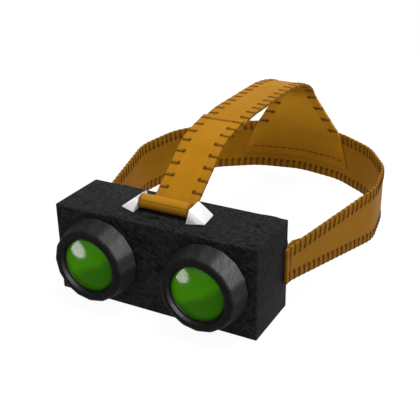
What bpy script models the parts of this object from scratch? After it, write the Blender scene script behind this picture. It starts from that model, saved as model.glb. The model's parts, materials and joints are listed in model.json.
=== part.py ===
"""Night vision goggles in a box housing, on a leather head harness.

Metres. X runs across the goggles, Y from front to back, Z up. The origin is the centre of the
housing's underside, which the goggles stand on. Left is -X, as seen from in front.
"""

import math

import bmesh
import bpy
from mathutils import Vector

# Clearance between pieces that touch or slide, and how far a cut runs past a face
FIT_GAP = 0.0003
OVERRUN = 0.001

# Housing: a cast box, open at the back, with a plate let into a rebate there. It is as large as
# the tubes, flanges and battery tray inside need
FLANGE_CLEARANCE = 0.0035
SIDE_WALL = 0.003
FRONT_WALL = 0.0024
EDGE_ROUND = 0.0005
REBATE_WIDTH = 0.001
COVER_THICKNESS = 0.0025
GASKET_THICKNESS = 0.0007
GASKET_WIDTH = 0.0016

# Cover screws and the bosses they enter
BOSS_RADIUS = 0.0025
BOSS_CLEARANCE = 0.0004
BOSS_DROP = 0.0022
SCREW_RADIUS = 0.001
SCREW_LENGTH = 0.0075
SCREW_HEAD_RADIUS = 0.0019
SCREW_HEAD_HEIGHT = 0.0012

# Ears at the back corners, which the head harness turns on
EAR_REACH = 0.008
EAR_RADIUS = 0.006
EAR_THICKNESS = 0.0018
EAR_INSET = 0.0001
STUD_RADIUS = 0.002
STUD_HEAD_RADIUS = 0.0030
STUD_HEAD_HEIGHT = 0.0008
STUD_INNER_HEAD_RADIUS = 0.0036
STUD_INNER_HEAD_HEIGHT = 0.0006

# Objectives, measured from the housing's front face, and outwards from the lens
LENS_SPACING = 0.0706
LENS_RADIUS = 0.0164
LENS_EDGE_REACH = 0.01135
LENS_DOME = 0.0034
LENS_FLANGE_THICKNESS = 0.0035
LENS_SEAT_STEP = 0.0012
LENS_SEAT_DEPTH = 0.004
LENS_CLEARANCE = 0.0018
BARREL_WALL = 0.0013
BARREL_REACH = 0.0104
BARREL_FLANGE_WIDTH = 0.002
BARREL_FLANGE_THICKNESS = 0.002
RING_WALL = 0.00295
RING_FLARE = 0.00235
RING_REACH = 0.01485
RING_CREST_ROUND = 0.0014
RING_LIP_THICKNESS = 0.0009
CELL_WALL_STEP = 0.002
CELL_REAR_DEPTH = 0.0065
FOCUS_TRAVEL = 0.0016

# Image intensifiers and the chassis plate that carries them
TUBE_RADIUS = 0.0123
TUBE_LENGTH = 0.021
TUBE_FRONT_CLEARANCE = 0.0035
TUBE_WINDOW_RADIUS = 0.0092
TUBE_CHAMFER = 0.0008
CHASSIS_FRONT_DEPTH = 0.0225
CHASSIS_THICKNESS = 0.004

# Eyepieces, measured back from the housing's rear face
EYE_LENS_RADIUS = 0.0094
EYE_CELL_WALL = 0.0009
EYE_BARREL_WALL = 0.0017
EYE_BARREL_REACH = 0.0080
EYE_FLANGE_WIDTH = 0.0024
EYE_FLANGE_THICKNESS = 0.0012
DIOPTER_WALL = 0.0024
DIOPTER_LENGTH = 0.0068
DIOPTER_CHAMFER = 0.0008
EYE_LENS_THICKNESS = 0.0034
EYE_LENS_DOME = 0.0011
EYE_CELL_REACH = 0.0075
EYE_CELL_FRONT_DEPTH = 0.0055
EYE_SHOULDER = 0.0015

# Electronics and battery compartment, which opens through the left side
BOARD_HALF_WIDTH = 0.014
BOARD_HEIGHT = 0.040
BOARD_THICKNESS = 0.0016
CONVERTER_WIDTH = 0.018
CONVERTER_DEPTH = 0.0085
CONVERTER_HEIGHT = 0.022
BATTERY_RADIUS = 0.006
BATTERY_SPACING = 0.0006
BATTERY_TERMINAL_RADIUS = 0.002
BATTERY_TERMINAL_HEIGHT = 0.001
TRAY_WALL = 0.0008
TRAY_FRONT_CLEARANCE = 0.0009
TRAY_REAR_CLEARANCE = 0.0027
TRAY_TUBE_CLEARANCE = 0.0013
TRAY_BOTTOM_RISE = 0.0003
SPRING_RADIUS = 0.0035
SPRING_HEIGHT = 0.0025
SPRING_WALL = 0.0006
CONTACT_THICKNESS = 0.0004
DOOR_THICKNESS = 0.0024
DOOR_SILL = 0.0027
DOOR_PIN_RADIUS = 0.0005
DOOR_PIN_SEAT = 0.002
DOOR_NOTCH_RADIUS = 0.0035
DOOR_NOTCH_DEPTH = 0.0009

# Power switch, high on the left side
KNOB_RADIUS = 0.006
KNOB_REACH = 0.005
KNOB_CHAMFER = 0.0008
KNOB_SHAFT_RADIUS = 0.002
KNOB_DEPTH = 0.022
KNOB_DROP = 0.002
KNOB_MARK_WIDTH = 0.0010
KNOB_MARK_DEPTH = 0.0006
SWITCH_SIDE = 0.010
SWITCH_THICKNESS = 0.007
SWITCH_CLEARANCE = 0.0018

# White brackets on top, and the bar between them
BRACKET_SIDE = 0.017
BRACKET_WIDTH = 0.0102
BRACKET_FOOT_FRONT = 0.0095
BRACKET_FOOT_REAR = 0.0254
BRACKET_SHOULDER_DEPTH = 0.0134
BRACKET_SHOULDER_HEIGHT = 0.0074
BRACKET_PEAK_DEPTH = 0.0248
BRACKET_PEAK_HEIGHT = 0.0082
BRACKET_OUTER_FRONT = 0.0129
BRACKET_OUTER_REAR = 0.0259
BRACKET_REAR_WIDTH = 0.0088
BRACKET_SKIRT = 0.0007
BRACKET_ROUND = 0.0003
BRACKET_SCREW_INSET = 0.004
BRACKET_SCREW_DEPTH = 0.018
BRACKET_SCREW_RADIUS = 0.0009
BRACKET_SCREW_BITE = 0.0026
BAR_RADIUS = 0.002
BAR_DEPTH = 0.018
BAR_PIN_RADIUS = 0.001
BAR_PIN_LENGTH = 0.0013
ROLL_RADIUS = 0.0044
ROLL_END_CLEARANCE = 0.0004
ROLL_END_ROUND = 0.0005

# Leather
LEATHER = 0.0018
CROWN_HALF_WIDTH = 0.01405
CROWN_TOP_HEIGHT = 0.0913
BAND_SPREAD = 0.0234
BAND_REACH = 0.2232
BAND_FLAT_LENGTH = 0.0052
BAND_STUD_CLEARANCE = 0.0047
BAND_FRONT_HALF_HEIGHT = 0.0111
BAND_TOP_HEIGHT = 0.0445
BAND_BOTTOM_HEIGHT = 0.0073
BAND_SOFTENING = 0.009
CROWN_SOFTENING = 0.008
LAP_LENGTH = 0.0142
YOKE_NECK_HALF_WIDTH = 0.015
YOKE_WAIST_HALF_WIDTH = 0.0334
YOKE_FOOT_HALF_WIDTH = 0.043
YOKE_BOTTOM_HEIGHT = 0.019
PATCH_THICKNESS = 0.0016
PATCH_RADIUS = 0.007
PATCH_LENGTH = 0.036
PATCH_COUNTERSINK = 0.0009

# Face shield: a frame on the rear cover, with a soft cushion on it
SHIELD_SIDE_CLEARANCE = 0.0008
SHIELD_DIOPTER_CLEARANCE = 0.0012
SHIELD_RING_WIDTH = 0.006
SHIELD_FRAME_THICKNESS = 0.002
SHIELD_TEMPLE_DEPTH = 0.0165
SHIELD_BROW_DEPTH = 0.009
SHIELD_SOFTENING = 0.008
PEG_RADIUS = 0.0013
PEG_LENGTH = 0.0014
PEG_INSET = 0.0036
PEG_RISE = 0.010

# Facets of the round pieces
OPTIC_STEPS = 32
SMALL_STEPS = 16
GRIP_FLATS = 16
DOME_RINGS = 5

# Outlines, as shares of the sizes that they follow: the head band's corners seen from above,
# its right half from the widest place to the back
BAND_CORNER_SHARES = ((1.0, 0.582), (0.937, 0.745), (0.716, 0.880), (0.385, 0.969), (0.0, 1.0))
# the crown strap's corners from the side, as shares of the band's reach and the crown's height
CROWN_BEND_SHARE = (0.284, 0.944)
CROWN_LAP_SHARE = (0.4014, 1.0)
CROWN_BACK_SHARES = ((0.4590, 1.0), (0.7455, 1.0), (0.8477, 0.9606), (0.9117, 0.8916))
YOKE_NECK_SHARE = (0.9364, 0.7996)
# the shield's outline from behind, as shares of its half width and half height
SHIELD_SIDE_SHARES = ((0.86, 1.0), (0.945, 0.90), (1.0, 0.20), (1.0, -0.20), (0.945, -0.90), (0.86, -1.0))
SHIELD_NOSE_SHARES = ((0.33, -1.0), (0.16, -0.66))
# the cushion's section, as shares of its width and its depth
CUSHION_SECTION_SHARES = ((0.0, 0.0), (0.01, 0.55), (0.10, 0.86), (0.42, 1.0), (0.80, 0.88), (0.97, 0.5), (1.0, 0.0))

# Objectives and eyepieces, each piece round the one inside it
LENS_X = LENS_SPACING / 2
LENS_SEAT_RADIUS = LENS_RADIUS - LENS_SEAT_STEP
BARREL_BORE = LENS_RADIUS + LENS_CLEARANCE
BARREL_RADIUS = BARREL_BORE + BARREL_WALL
BARREL_FLANGE_RADIUS = BARREL_RADIUS + BARREL_FLANGE_WIDTH
RING_CREST_RADIUS = BARREL_RADIUS + FIT_GAP + RING_WALL
RING_BASE_RADIUS = RING_CREST_RADIUS + RING_FLARE
TUBE_FRONT_DEPTH = CELL_REAR_DEPTH + TUBE_FRONT_CLEARANCE
EYE_BARREL_BORE = EYE_LENS_RADIUS + EYE_CELL_WALL + 2 * FIT_GAP
EYE_BARREL_RADIUS = EYE_BARREL_BORE + EYE_BARREL_WALL
EYE_FLANGE_RADIUS = EYE_BARREL_RADIUS + EYE_FLANGE_WIDTH
DIOPTER_RADIUS = EYE_BARREL_RADIUS + FIT_GAP + DIOPTER_WALL

# The housing round the barrel flanges, and round the tray beside and behind the optics
TRAY_FRONT_DEPTH = CELL_REAR_DEPTH + TRAY_FRONT_CLEARANCE
TRAY_DEPTH = 4 * BATTERY_RADIUS + BATTERY_SPACING + 2 * FIT_GAP + 2 * TRAY_WALL
COVER_STACK = COVER_THICKNESS + GASKET_THICKNESS + 2 * FIT_GAP
TRAY_BACK_SIDE = LENS_X + TUBE_RADIUS + TRAY_TUBE_CLEARANCE
BATTERY_ROOM = FIT_GAP + 2 * BATTERY_RADIUS + 2 * FIT_GAP
HOUSING_WIDTH = 2 * (TRAY_BACK_SIDE + TRAY_WALL + BATTERY_ROOM + DOOR_THICKNESS)
HOUSING_DEPTH = TRAY_FRONT_DEPTH + TRAY_DEPTH + TRAY_REAR_CLEARANCE + COVER_STACK
HOUSING_HEIGHT = 2 * (BARREL_FLANGE_RADIUS + FLANGE_CLEARANCE + SIDE_WALL)

# Places worked out from the sizes above
FRONT_Y = -HOUSING_DEPTH / 2
REAR_Y = HOUSING_DEPTH / 2
SIDE_X = HOUSING_WIDTH / 2
AXIS_Z = HOUSING_HEIGHT / 2
COVER_Y = REAR_Y - COVER_THICKNESS
GASKET_Y = COVER_Y - FIT_GAP - GASKET_THICKNESS
LEDGE_Y = GASKET_Y - FIT_GAP
INSIDE_X = SIDE_X - SIDE_WALL
INSIDE_BOTTOM = SIDE_WALL
INSIDE_TOP = HOUSING_HEIGHT - SIDE_WALL
REBATE_X = INSIDE_X + REBATE_WIDTH
REBATE_BOTTOM = INSIDE_BOTTOM - REBATE_WIDTH
REBATE_TOP = INSIDE_TOP + REBATE_WIDTH
PIVOT_Y = REAR_Y + EAR_REACH
EAR_OUTER_X = SIDE_X - EAR_INSET
EAR_INNER_X = EAR_OUTER_X - EAR_THICKNESS
BAR_Y = FRONT_Y + BAR_DEPTH
BAR_Z = HOUSING_HEIGHT + FIT_GAP + ROLL_RADIUS
ROLL_HALF_LENGTH = BRACKET_SIDE - ROLL_END_CLEARANCE
BRACKET_SCREW_SIDE = BRACKET_SIDE + BRACKET_SCREW_INSET
BAND_HALF_WIDTH = SIDE_X + BAND_SPREAD
BAND_BEND_Y = PIVOT_Y - STUD_HEAD_RADIUS - BAND_STUD_CLEARANCE
BAND_FRONT_Y = BAND_BEND_Y - BAND_FLAT_LENGTH
SHIELD_HALF_WIDTH = EAR_INNER_X - FIT_GAP - PATCH_THICKNESS - SHIELD_SIDE_CLEARANCE
SHIELD_HALF_HEIGHT = DIOPTER_RADIUS + SHIELD_DIOPTER_CLEARANCE + SHIELD_RING_WIDTH
PEG_SIDE = SHIELD_HALF_WIDTH - PEG_INSET
BOSS_SIDE = TRAY_BACK_SIDE - BOSS_CLEARANCE - BOSS_RADIUS
BOSS_RISE = INSIDE_TOP - BOSS_DROP - AXIS_Z
BOSS_PLACES = [(side * BOSS_SIDE, AXIS_Z + rise * BOSS_RISE) for side in (-1, 1) for rise in (-1, 1)]
SIDE_NAMES = {-1: "left", 1: "right"}


def material(name, colour, roughness, metallic=0.0):
    made = bpy.data.materials.new(name)
    made.use_nodes = True
    shader = made.node_tree.nodes["Principled BSDF"]
    shader.inputs["Base Color"].default_value = (*colour, 1.0)
    shader.inputs["Roughness"].default_value = roughness
    shader.inputs["Metallic"].default_value = metallic
    return made


def solid(name, bm, finish, place=(0, 0, 0), turn=(0, 0, 0)):
    """Turns the bmesh into the named object, smooth over its gentle edges."""
    bmesh.ops.recalc_face_normals(bm, faces=bm.faces)
    mesh = bpy.data.meshes.new(name)
    bm.to_mesh(mesh)
    bm.free()
    mesh.materials.append(finish)
    mesh.shade_smooth()
    mesh.set_sharp_from_angle(angle=math.radians(35))
    made = bpy.data.objects.new(name, mesh)
    made.location = place
    made.rotation_euler = turn
    bpy.context.scene.collection.objects.link(made)
    return made


def cut(target, name, bm, operation="DIFFERENCE"):
    """Cuts the bmesh's solids from the target, or joins them to it."""
    bmesh.ops.recalc_face_normals(bm, faces=bm.faces)
    mesh = bpy.data.meshes.new(name)
    bm.to_mesh(mesh)
    bm.free()
    tool = bpy.data.objects.new(name, mesh)
    tool.hide_render = True
    tool.display_type = "WIRE"
    bpy.context.scene.collection.objects.link(tool)
    modifier = target.modifiers.new(name, "BOOLEAN")
    modifier.operation = operation
    modifier.object = tool


def add_loops(bm, loops, closed_row=True, close_ends=True):
    """Skins a row of loops with equal counts of points, and closes the first and last."""
    rows = [[bm.verts.new(point) for point in loop] for loop in loops]
    pairs = list(zip(rows, rows[1:])) if close_ends else list(zip(rows, rows[1:] + rows[:1]))
    for near, far in pairs:
        count = len(near)
        for i in range(count if closed_row else count - 1):
            j = (i + 1) % count
            bm.faces.new((near[i], near[j], far[j], far[i]))
    if close_ends:
        bm.faces.new(reversed(rows[0]))
        bm.faces.new(rows[-1])
    return rows


def add_box(bm, low, high):
    bottom = [(low[0], low[1]), (high[0], low[1]), (high[0], high[1]), (low[0], high[1])]
    add_loops(bm, [[(x, y, z) for x, y in bottom] for z in (low[2], high[2])])


def add_rod(bm, start, end, radius, steps=SMALL_STEPS):
    """A round bar between two points."""
    start, end = Vector(start), Vector(end)
    along = (end - start).normalized()
    across = along.orthogonal().normalized()
    up = along.cross(across)
    angles = [2 * math.pi * i / steps for i in range(steps)]
    rim = [(across * math.cos(a) + up * math.sin(a)) * radius for a in angles]
    add_loops(bm, [[start + r for r in rim], [end + r for r in rim]])


def turned(section, steps=OPTIC_STEPS, hollow=False):
    """Spins a section of (radius, height) about Z. A hollow section closes on itself."""
    bm = bmesh.new()
    points = [bm.verts.new((radius, 0, height)) for radius, height in section]
    edges = [bm.edges.new(pair) for pair in zip(points, points[1:])]
    if hollow:
        edges.append(bm.edges.new((points[-1], points[0])))
    bmesh.ops.spin(bm, geom=points + edges, cent=(0, 0, 0), axis=(0, 0, 1), angle=2 * math.pi,
                   steps=steps, use_merge=True)
    bmesh.ops.remove_doubles(bm, verts=bm.verts, dist=FIT_GAP / 1000)
    return bm


def flatten_grip(bm, flats, beyond, steps=OPTIC_STEPS):
    """Draws in every other row of points beyond a radius, so that the outside has flats."""
    for vert in bm.verts:
        radius = vert.co.xy.length
        if radius > beyond:
            step = round(math.atan2(vert.co.y, vert.co.x) / (2 * math.pi / steps))
            if step % 2:
                vert.co.xy *= math.cos(math.pi / flats)
    return bm


def softened(points, reach, steps=4, closed=False):
    """Rounds the corners of a run of points, each of any number of values."""
    count = len(points)
    path = []
    for i, point in enumerate(points):
        corner = Vector(point)
        if not closed and i in (0, count - 1):
            path.append(corner)
            continue
        before = Vector(points[i - 1]) - corner
        after = Vector(points[(i + 1) % count]) - corner
        start = corner + before * min(reach / before.length, 0.45)
        end = corner + after * min(reach / after.length, 0.45)
        for step in range(steps + 1):
            t = step / steps
            path.append(start * (1 - t) ** 2 + corner * (2 * t * (1 - t)) + end * t ** 2)
    return path


def plan_normals(path, closed=False):
    """The unit normals, to the right of travel, of a path of (x, y) points."""
    normals = []
    last = len(path) - 1
    for i in range(len(path)):
        before = path[i - 1] if closed or i > 0 else path[0]
        after = path[(i + 1) % len(path)] if closed or i < last else path[last]
        along = Vector((after[0] - before[0], after[1] - before[1])).normalized()
        normals.append(Vector((along.y, -along.x)))
    return normals


def sheet(rows):
    """A bmesh sheet through rows of points, for a Solidify to thicken."""
    bm = bmesh.new()
    add_loops_open(bm, rows)
    return bm


def add_loops_open(bm, rows):
    verts = [[bm.verts.new(point) for point in row] for row in rows]
    for near, far in zip(verts, verts[1:]):
        for i in range(len(near) - 1):
            bm.faces.new((near[i], near[i + 1], far[i + 1], far[i]))


def leather_piece(name, rows, thickness, finish):
    """A sheet of hide, thickened towards the head. Its rows run so that faces look outwards."""
    bm = sheet(rows)
    mesh = bpy.data.meshes.new(name)
    bm.to_mesh(mesh)
    bm.free()
    mesh.materials.append(finish)
    mesh.shade_smooth()
    made = bpy.data.objects.new(name, mesh)
    bpy.context.scene.collection.objects.link(made)
    wall = made.modifiers.new("thickness", "SOLIDIFY")
    wall.thickness = thickness
    wall.offset = -1
    wall.use_even_offset = True
    return made


def objective_piece(name, bm, side, finish):
    """Places a piece turned about Z so that +Z points forward from the housing's front face."""
    return solid(name, bm, finish, (side * LENS_X, FRONT_Y, AXIS_Z), (math.pi / 2, 0, 0))


def eyepiece_piece(name, bm, side, finish):
    """Places a piece turned about Z so that +Z points back from the housing's rear face."""
    return solid(name, bm, finish, (side * LENS_X, REAR_Y, AXIS_Z), (-math.pi / 2, 0, 0))


def dome(radius, edge, rise, rings=DOME_RINGS):
    """A cap's section, from its centre out to its edge."""
    sphere = (radius ** 2 + rise ** 2) / (2 * rise)
    reach = math.asin(radius / sphere)
    angles = [reach * ring / rings for ring in range(rings + 1)]
    return [(sphere * math.sin(a), edge + rise - sphere * (1 - math.cos(a))) for a in angles]


# Places that the switch, battery compartment, shell and door share. The two cells are as long as
# the room under the switch allows.
KNOB_Z = INSIDE_TOP - KNOB_DROP - SWITCH_SIDE / 2
BATTERY_SIDE = BATTERY_RADIUS + BATTERY_SPACING / 2
TRAY_FRONT_Y = FRONT_Y + TRAY_FRONT_DEPTH
TRAY_REAR_Y = TRAY_FRONT_Y + TRAY_DEPTH
BAY_Y = (TRAY_FRONT_Y + TRAY_REAR_Y) / 2
TRAY_BOTTOM = INSIDE_BOTTOM + TRAY_BOTTOM_RISE
SPRING_Z = TRAY_BOTTOM + TRAY_WALL + FIT_GAP
BATTERY_Z = SPRING_Z + SPRING_HEIGHT + FIT_GAP
TRAY_TOP = KNOB_Z - SWITCH_SIDE / 2 - SWITCH_CLEARANCE
CONTACT_Z = TRAY_TOP - TRAY_WALL - FIT_GAP - CONTACT_THICKNESS
BATTERY_LENGTH = CONTACT_Z - FIT_GAP - BATTERY_Z
DOORWAY_BOTTOM = TRAY_BOTTOM + DOOR_SILL
DOORWAY_TOP = TRAY_TOP - TRAY_WALL
DOORWAY_FRONT_Y = TRAY_FRONT_Y + TRAY_WALL
DOORWAY_REAR_Y = TRAY_REAR_Y - TRAY_WALL
HINGE_X = -SIDE_X + DOOR_THICKNESS / 2
HINGE_Y = DOORWAY_FRONT_Y + FIT_GAP + DOOR_THICKNESS / 2
BATTERY_X = -SIDE_X + DOOR_THICKNESS + 2 * FIT_GAP + BATTERY_RADIUS
TRAY_FLOOR_X = BATTERY_X + BATTERY_RADIUS + FIT_GAP
TRAY_BACK_X = TRAY_FLOOR_X + TRAY_WALL


def housing_shell(finish):
    """The cast box: walls, front bores, doorway, corner bosses and the two ears."""
    bm = bmesh.new()
    add_box(bm, (-SIDE_X, FRONT_Y, 0), (SIDE_X, REAR_Y, HOUSING_HEIGHT))
    bmesh.ops.bevel(bm, geom=bm.edges[:], offset=EDGE_ROUND, segments=2, profile=0.5,
                    affect="EDGES", material=-1)
    shell = solid("housing_shell", bm, finish)

    inside = bmesh.new()
    steps = (
        (INSIDE_X, INSIDE_BOTTOM, INSIDE_TOP, FRONT_Y + FRONT_WALL),
        (INSIDE_X, INSIDE_BOTTOM, INSIDE_TOP, LEDGE_Y),
        (REBATE_X, REBATE_BOTTOM, REBATE_TOP, LEDGE_Y),
        (REBATE_X, REBATE_BOTTOM, REBATE_TOP, REAR_Y + OVERRUN),
    )
    add_loops(inside, [[(-x, y, low), (x, y, low), (x, y, high), (-x, y, high)]
                       for x, low, high, y in steps])
    cut(shell, "shell_inside", inside)

    holes = bmesh.new()
    front = FRONT_Y - OVERRUN
    behind_front = FRONT_Y + FRONT_WALL + OVERRUN
    for side in (-1, 1):
        add_rod(holes, (side * LENS_X, front, AXIS_Z), (side * LENS_X, behind_front, AXIS_Z),
                BARREL_RADIUS + FIT_GAP, OPTIC_STEPS)
        x, y = side * BRACKET_SCREW_SIDE, FRONT_Y + BRACKET_SCREW_DEPTH
        add_rod(holes, (x, y, INSIDE_TOP - OVERRUN), (x, y, HOUSING_HEIGHT + OVERRUN),
                BRACKET_SCREW_RADIUS + FIT_GAP)
    add_box(holes, (-SIDE_X - OVERRUN, DOORWAY_FRONT_Y, DOORWAY_BOTTOM),
            (-INSIDE_X + OVERRUN, DOORWAY_REAR_Y, DOORWAY_TOP))
    knob_y = FRONT_Y + KNOB_DEPTH
    add_rod(holes, (-SIDE_X - OVERRUN, knob_y, KNOB_Z), (-INSIDE_X + OVERRUN, knob_y, KNOB_Z),
            KNOB_SHAFT_RADIUS + FIT_GAP)
    cut(shell, "shell_holes", holes)

    pin = bmesh.new()
    seat = DOOR_PIN_SEAT + FIT_GAP
    add_rod(pin, (HINGE_X, HINGE_Y, DOORWAY_BOTTOM - seat), (HINGE_X, HINGE_Y, DOORWAY_TOP + seat),
            DOOR_PIN_RADIUS + FIT_GAP)
    cut(shell, "door_pin_seat", pin)

    added = bmesh.new()
    for x, z in BOSS_PLACES:
        add_rod(added, (x, FRONT_Y + FRONT_WALL / 2, z), (x, LEDGE_Y, z), BOSS_RADIUS)
    for side in (-1, 1):
        x_low, x_high = sorted((side * EAR_INNER_X, side * EAR_OUTER_X))
        arc = [math.pi * i / 10 - math.pi / 2 for i in range(11)]
        outline = [(LEDGE_Y - SIDE_WALL, AXIS_Z - EAR_RADIUS)]
        outline += [(PIVOT_Y + EAR_RADIUS * math.cos(a), AXIS_Z + EAR_RADIUS * math.sin(a)) for a in arc]
        outline += [(LEDGE_Y - SIDE_WALL, AXIS_Z + EAR_RADIUS)]
        add_loops(added, [[(x, y, z) for y, z in outline] for x in (x_low, x_high)])
    cut(shell, "bosses_and_ears", added, "UNION")

    bores = bmesh.new()
    for x, z in BOSS_PLACES:
        add_rod(bores, (x, COVER_Y - SCREW_LENGTH, z), (x, COVER_Y + OVERRUN, z), SCREW_RADIUS + FIT_GAP)
    for side in (-1, 1):
        add_rod(bores, (side * (EAR_INNER_X - OVERRUN), PIVOT_Y, AXIS_Z),
                (side * (EAR_OUTER_X + OVERRUN), PIVOT_Y, AXIS_Z), STUD_RADIUS + FIT_GAP)
    cut(shell, "screw_and_stud_bores", bores)


def rear_cover(finish):
    """The plate let into the back, bored for the eyepieces, screws and shield pegs."""
    half = REBATE_X - FIT_GAP
    bm = bmesh.new()
    add_box(bm, (-half, COVER_Y, REBATE_BOTTOM + FIT_GAP), (half, REAR_Y, REBATE_TOP - FIT_GAP))
    cover = solid("rear_cover", bm, finish)
    holes = bmesh.new()
    for side in (-1, 1):
        add_rod(holes, (side * LENS_X, COVER_Y - OVERRUN, AXIS_Z), (side * LENS_X, REAR_Y + OVERRUN, AXIS_Z),
                EYE_BARREL_RADIUS + FIT_GAP, OPTIC_STEPS)
        for rise in (-1, 1):
            place = (side * PEG_SIDE, AXIS_Z + rise * PEG_RISE)
            add_rod(holes, (place[0], REAR_Y - PEG_LENGTH - FIT_GAP, place[1]),
                    (place[0], REAR_Y + OVERRUN, place[1]), PEG_RADIUS + FIT_GAP)
    for x, z in BOSS_PLACES:
        shaft, head = SCREW_RADIUS + FIT_GAP, SCREW_HEAD_RADIUS + FIT_GAP
        floor = REAR_Y - SCREW_HEAD_HEIGHT - 2 * FIT_GAP
        rims = ((shaft, COVER_Y - OVERRUN), (shaft, floor), (head, floor), (head, REAR_Y + OVERRUN))
        angles = [2 * math.pi * i / SMALL_STEPS for i in range(SMALL_STEPS)]
        add_loops(holes, [[(x + r * math.cos(a), y, z + r * math.sin(a)) for a in angles] for r, y in rims])
    cut(cover, "cover_holes", holes)


def cover_gasket(finish):
    """A flat rubber ring on the ledge that the cover presses."""
    outer = REBATE_X - FIT_GAP
    low, high = REBATE_BOTTOM + FIT_GAP, REBATE_TOP - FIT_GAP
    bm = bmesh.new()
    loops = []
    for inset, y in ((0, GASKET_Y), (0, GASKET_Y + GASKET_THICKNESS),
                     (GASKET_WIDTH, GASKET_Y + GASKET_THICKNESS), (GASKET_WIDTH, GASKET_Y)):
        x, bottom, top = outer - inset, low + inset, high - inset
        loops.append([(-x, y, bottom), (x, y, bottom), (x, y, top), (-x, y, top)])
    add_loops(bm, loops, close_ends=False)
    solid("cover_gasket", bm, finish)


def cover_screws(finish):
    top = -2 * FIT_GAP / 2
    neck = top - SCREW_HEAD_HEIGHT
    tip = -COVER_THICKNESS - SCREW_LENGTH + 2 * FIT_GAP
    section = [(0, top), (SCREW_HEAD_RADIUS, top), (SCREW_HEAD_RADIUS, neck), (SCREW_RADIUS, neck),
               (SCREW_RADIUS, tip), (0, tip)]
    for x, z in BOSS_PLACES:
        level = "upper" if z > AXIS_Z else "lower"
        name = f"cover_screw_{level}_{SIDE_NAMES[1 if x > 0 else -1]}"
        solid(name, turned(section, SMALL_STEPS), finish, (x, REAR_Y, z), (-math.pi / 2, 0, 0))


def objective(side, finishes):
    """One objective: fixed barrel, focus ring, sliding lens cell and front lens."""
    where = SIDE_NAMES[side]
    seat = -FRONT_WALL - FIT_GAP
    flange = seat - BARREL_FLANGE_THICKNESS
    barrel = [(BARREL_BORE, BARREL_REACH), (BARREL_RADIUS, BARREL_REACH), (BARREL_RADIUS, seat),
              (BARREL_FLANGE_RADIUS, seat), (BARREL_FLANGE_RADIUS, flange), (BARREL_BORE, flange)]
    objective_piece(f"objective_barrel_{where}", turned(barrel, hollow=True), side, finishes["metal"])

    bore = BARREL_RADIUS + FIT_GAP
    lip = LENS_RADIUS + 4 * FIT_GAP / 3
    lip_back = BARREL_REACH + FIT_GAP
    lip_front = lip_back + RING_LIP_THICKNESS
    centre = (RING_CREST_RADIUS - RING_CREST_ROUND, RING_REACH - RING_CREST_ROUND)
    crest = [math.radians(10 + 112 * i / 4) for i in range(5)]
    ring = [(bore, FIT_GAP), (RING_BASE_RADIUS, FIT_GAP)]
    ring += [(centre[0] + RING_CREST_ROUND * math.cos(a), centre[1] + RING_CREST_ROUND * math.sin(a))
             for a in crest]
    ring += [(lip, lip_front), (lip, lip_back), (bore, lip_back)]
    bm = flatten_grip(turned(ring, hollow=True), GRIP_FLATS, RING_CREST_RADIUS - RING_CREST_ROUND)
    objective_piece(f"focus_ring_{where}", bm, side, finishes["rubber"])

    front = LENS_EDGE_REACH - LENS_FLANGE_THICKNESS - FIT_GAP
    outer = BARREL_BORE - FIT_GAP
    seat_radius = LENS_SEAT_RADIUS + FIT_GAP
    inner = LENS_SEAT_RADIUS - CELL_WALL_STEP
    shoulder = front - LENS_SEAT_DEPTH - FIT_GAP
    cell = [(seat_radius, front), (outer, front), (outer, -CELL_REAR_DEPTH), (inner, -CELL_REAR_DEPTH),
            (inner, shoulder), (seat_radius, shoulder)]
    objective_piece(f"objective_cell_{where}", turned(cell, hollow=True), side, finishes["metal"])

    glass = dome(LENS_RADIUS, LENS_EDGE_REACH, LENS_DOME)
    back = LENS_EDGE_REACH - LENS_FLANGE_THICKNESS
    glass += [(LENS_RADIUS, back), (LENS_SEAT_RADIUS, back), (LENS_SEAT_RADIUS, shoulder + FIT_GAP),
              (0, shoulder + FIT_GAP)]
    objective_piece(f"objective_lens_{where}", turned(glass), side, finishes["lens"])


def intensifier(side, finish):
    front = -TUBE_FRONT_DEPTH
    rear = front - TUBE_LENGTH
    rim, chamfer = TUBE_RADIUS - TUBE_CHAMFER, TUBE_CHAMFER
    section = [(0, front - chamfer), (TUBE_WINDOW_RADIUS, front - chamfer), (TUBE_WINDOW_RADIUS, front),
               (rim, front), (TUBE_RADIUS, front - chamfer), (TUBE_RADIUS, rear + chamfer), (rim, rear),
               (0, rear)]
    objective_piece(f"intensifier_tube_{SIDE_NAMES[side]}", turned(section), side, finish)


def optical_chassis(finish):
    """A plate across the housing that carries both tubes, notched round the bosses."""
    left = TRAY_BACK_X + FIT_GAP
    right = INSIDE_X - FIT_GAP
    low, high = INSIDE_BOTTOM + FIT_GAP, INSIDE_TOP - FIT_GAP
    notch = BOSS_RADIUS + FIT_GAP
    inner, outer = BOSS_SIDE - notch, BOSS_SIDE + notch
    step_low, step_high = AXIS_Z - BOSS_RISE + notch, AXIS_Z + BOSS_RISE - notch
    outline = [(left, step_low), (-inner, step_low), (-inner, low), (inner, low), (inner, step_low),
               (outer, step_low), (outer, low), (right, low), (right, high), (outer, high),
               (outer, step_high), (inner, step_high), (inner, high), (-inner, high),
               (-inner, step_high), (left, step_high)]
    front = FRONT_Y + CHASSIS_FRONT_DEPTH
    bm = bmesh.new()
    add_loops(bm, [[(x, y, z) for x, z in outline] for y in (front, front + CHASSIS_THICKNESS)])
    plate = solid("optical_chassis", bm, finish)
    bores = bmesh.new()
    for side in (-1, 1):
        add_rod(bores, (side * LENS_X, front - OVERRUN, AXIS_Z),
                (side * LENS_X, front + CHASSIS_THICKNESS + OVERRUN, AXIS_Z), TUBE_RADIUS + FIT_GAP, OPTIC_STEPS)
    cut(plate, "tube_bores", bores)


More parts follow.
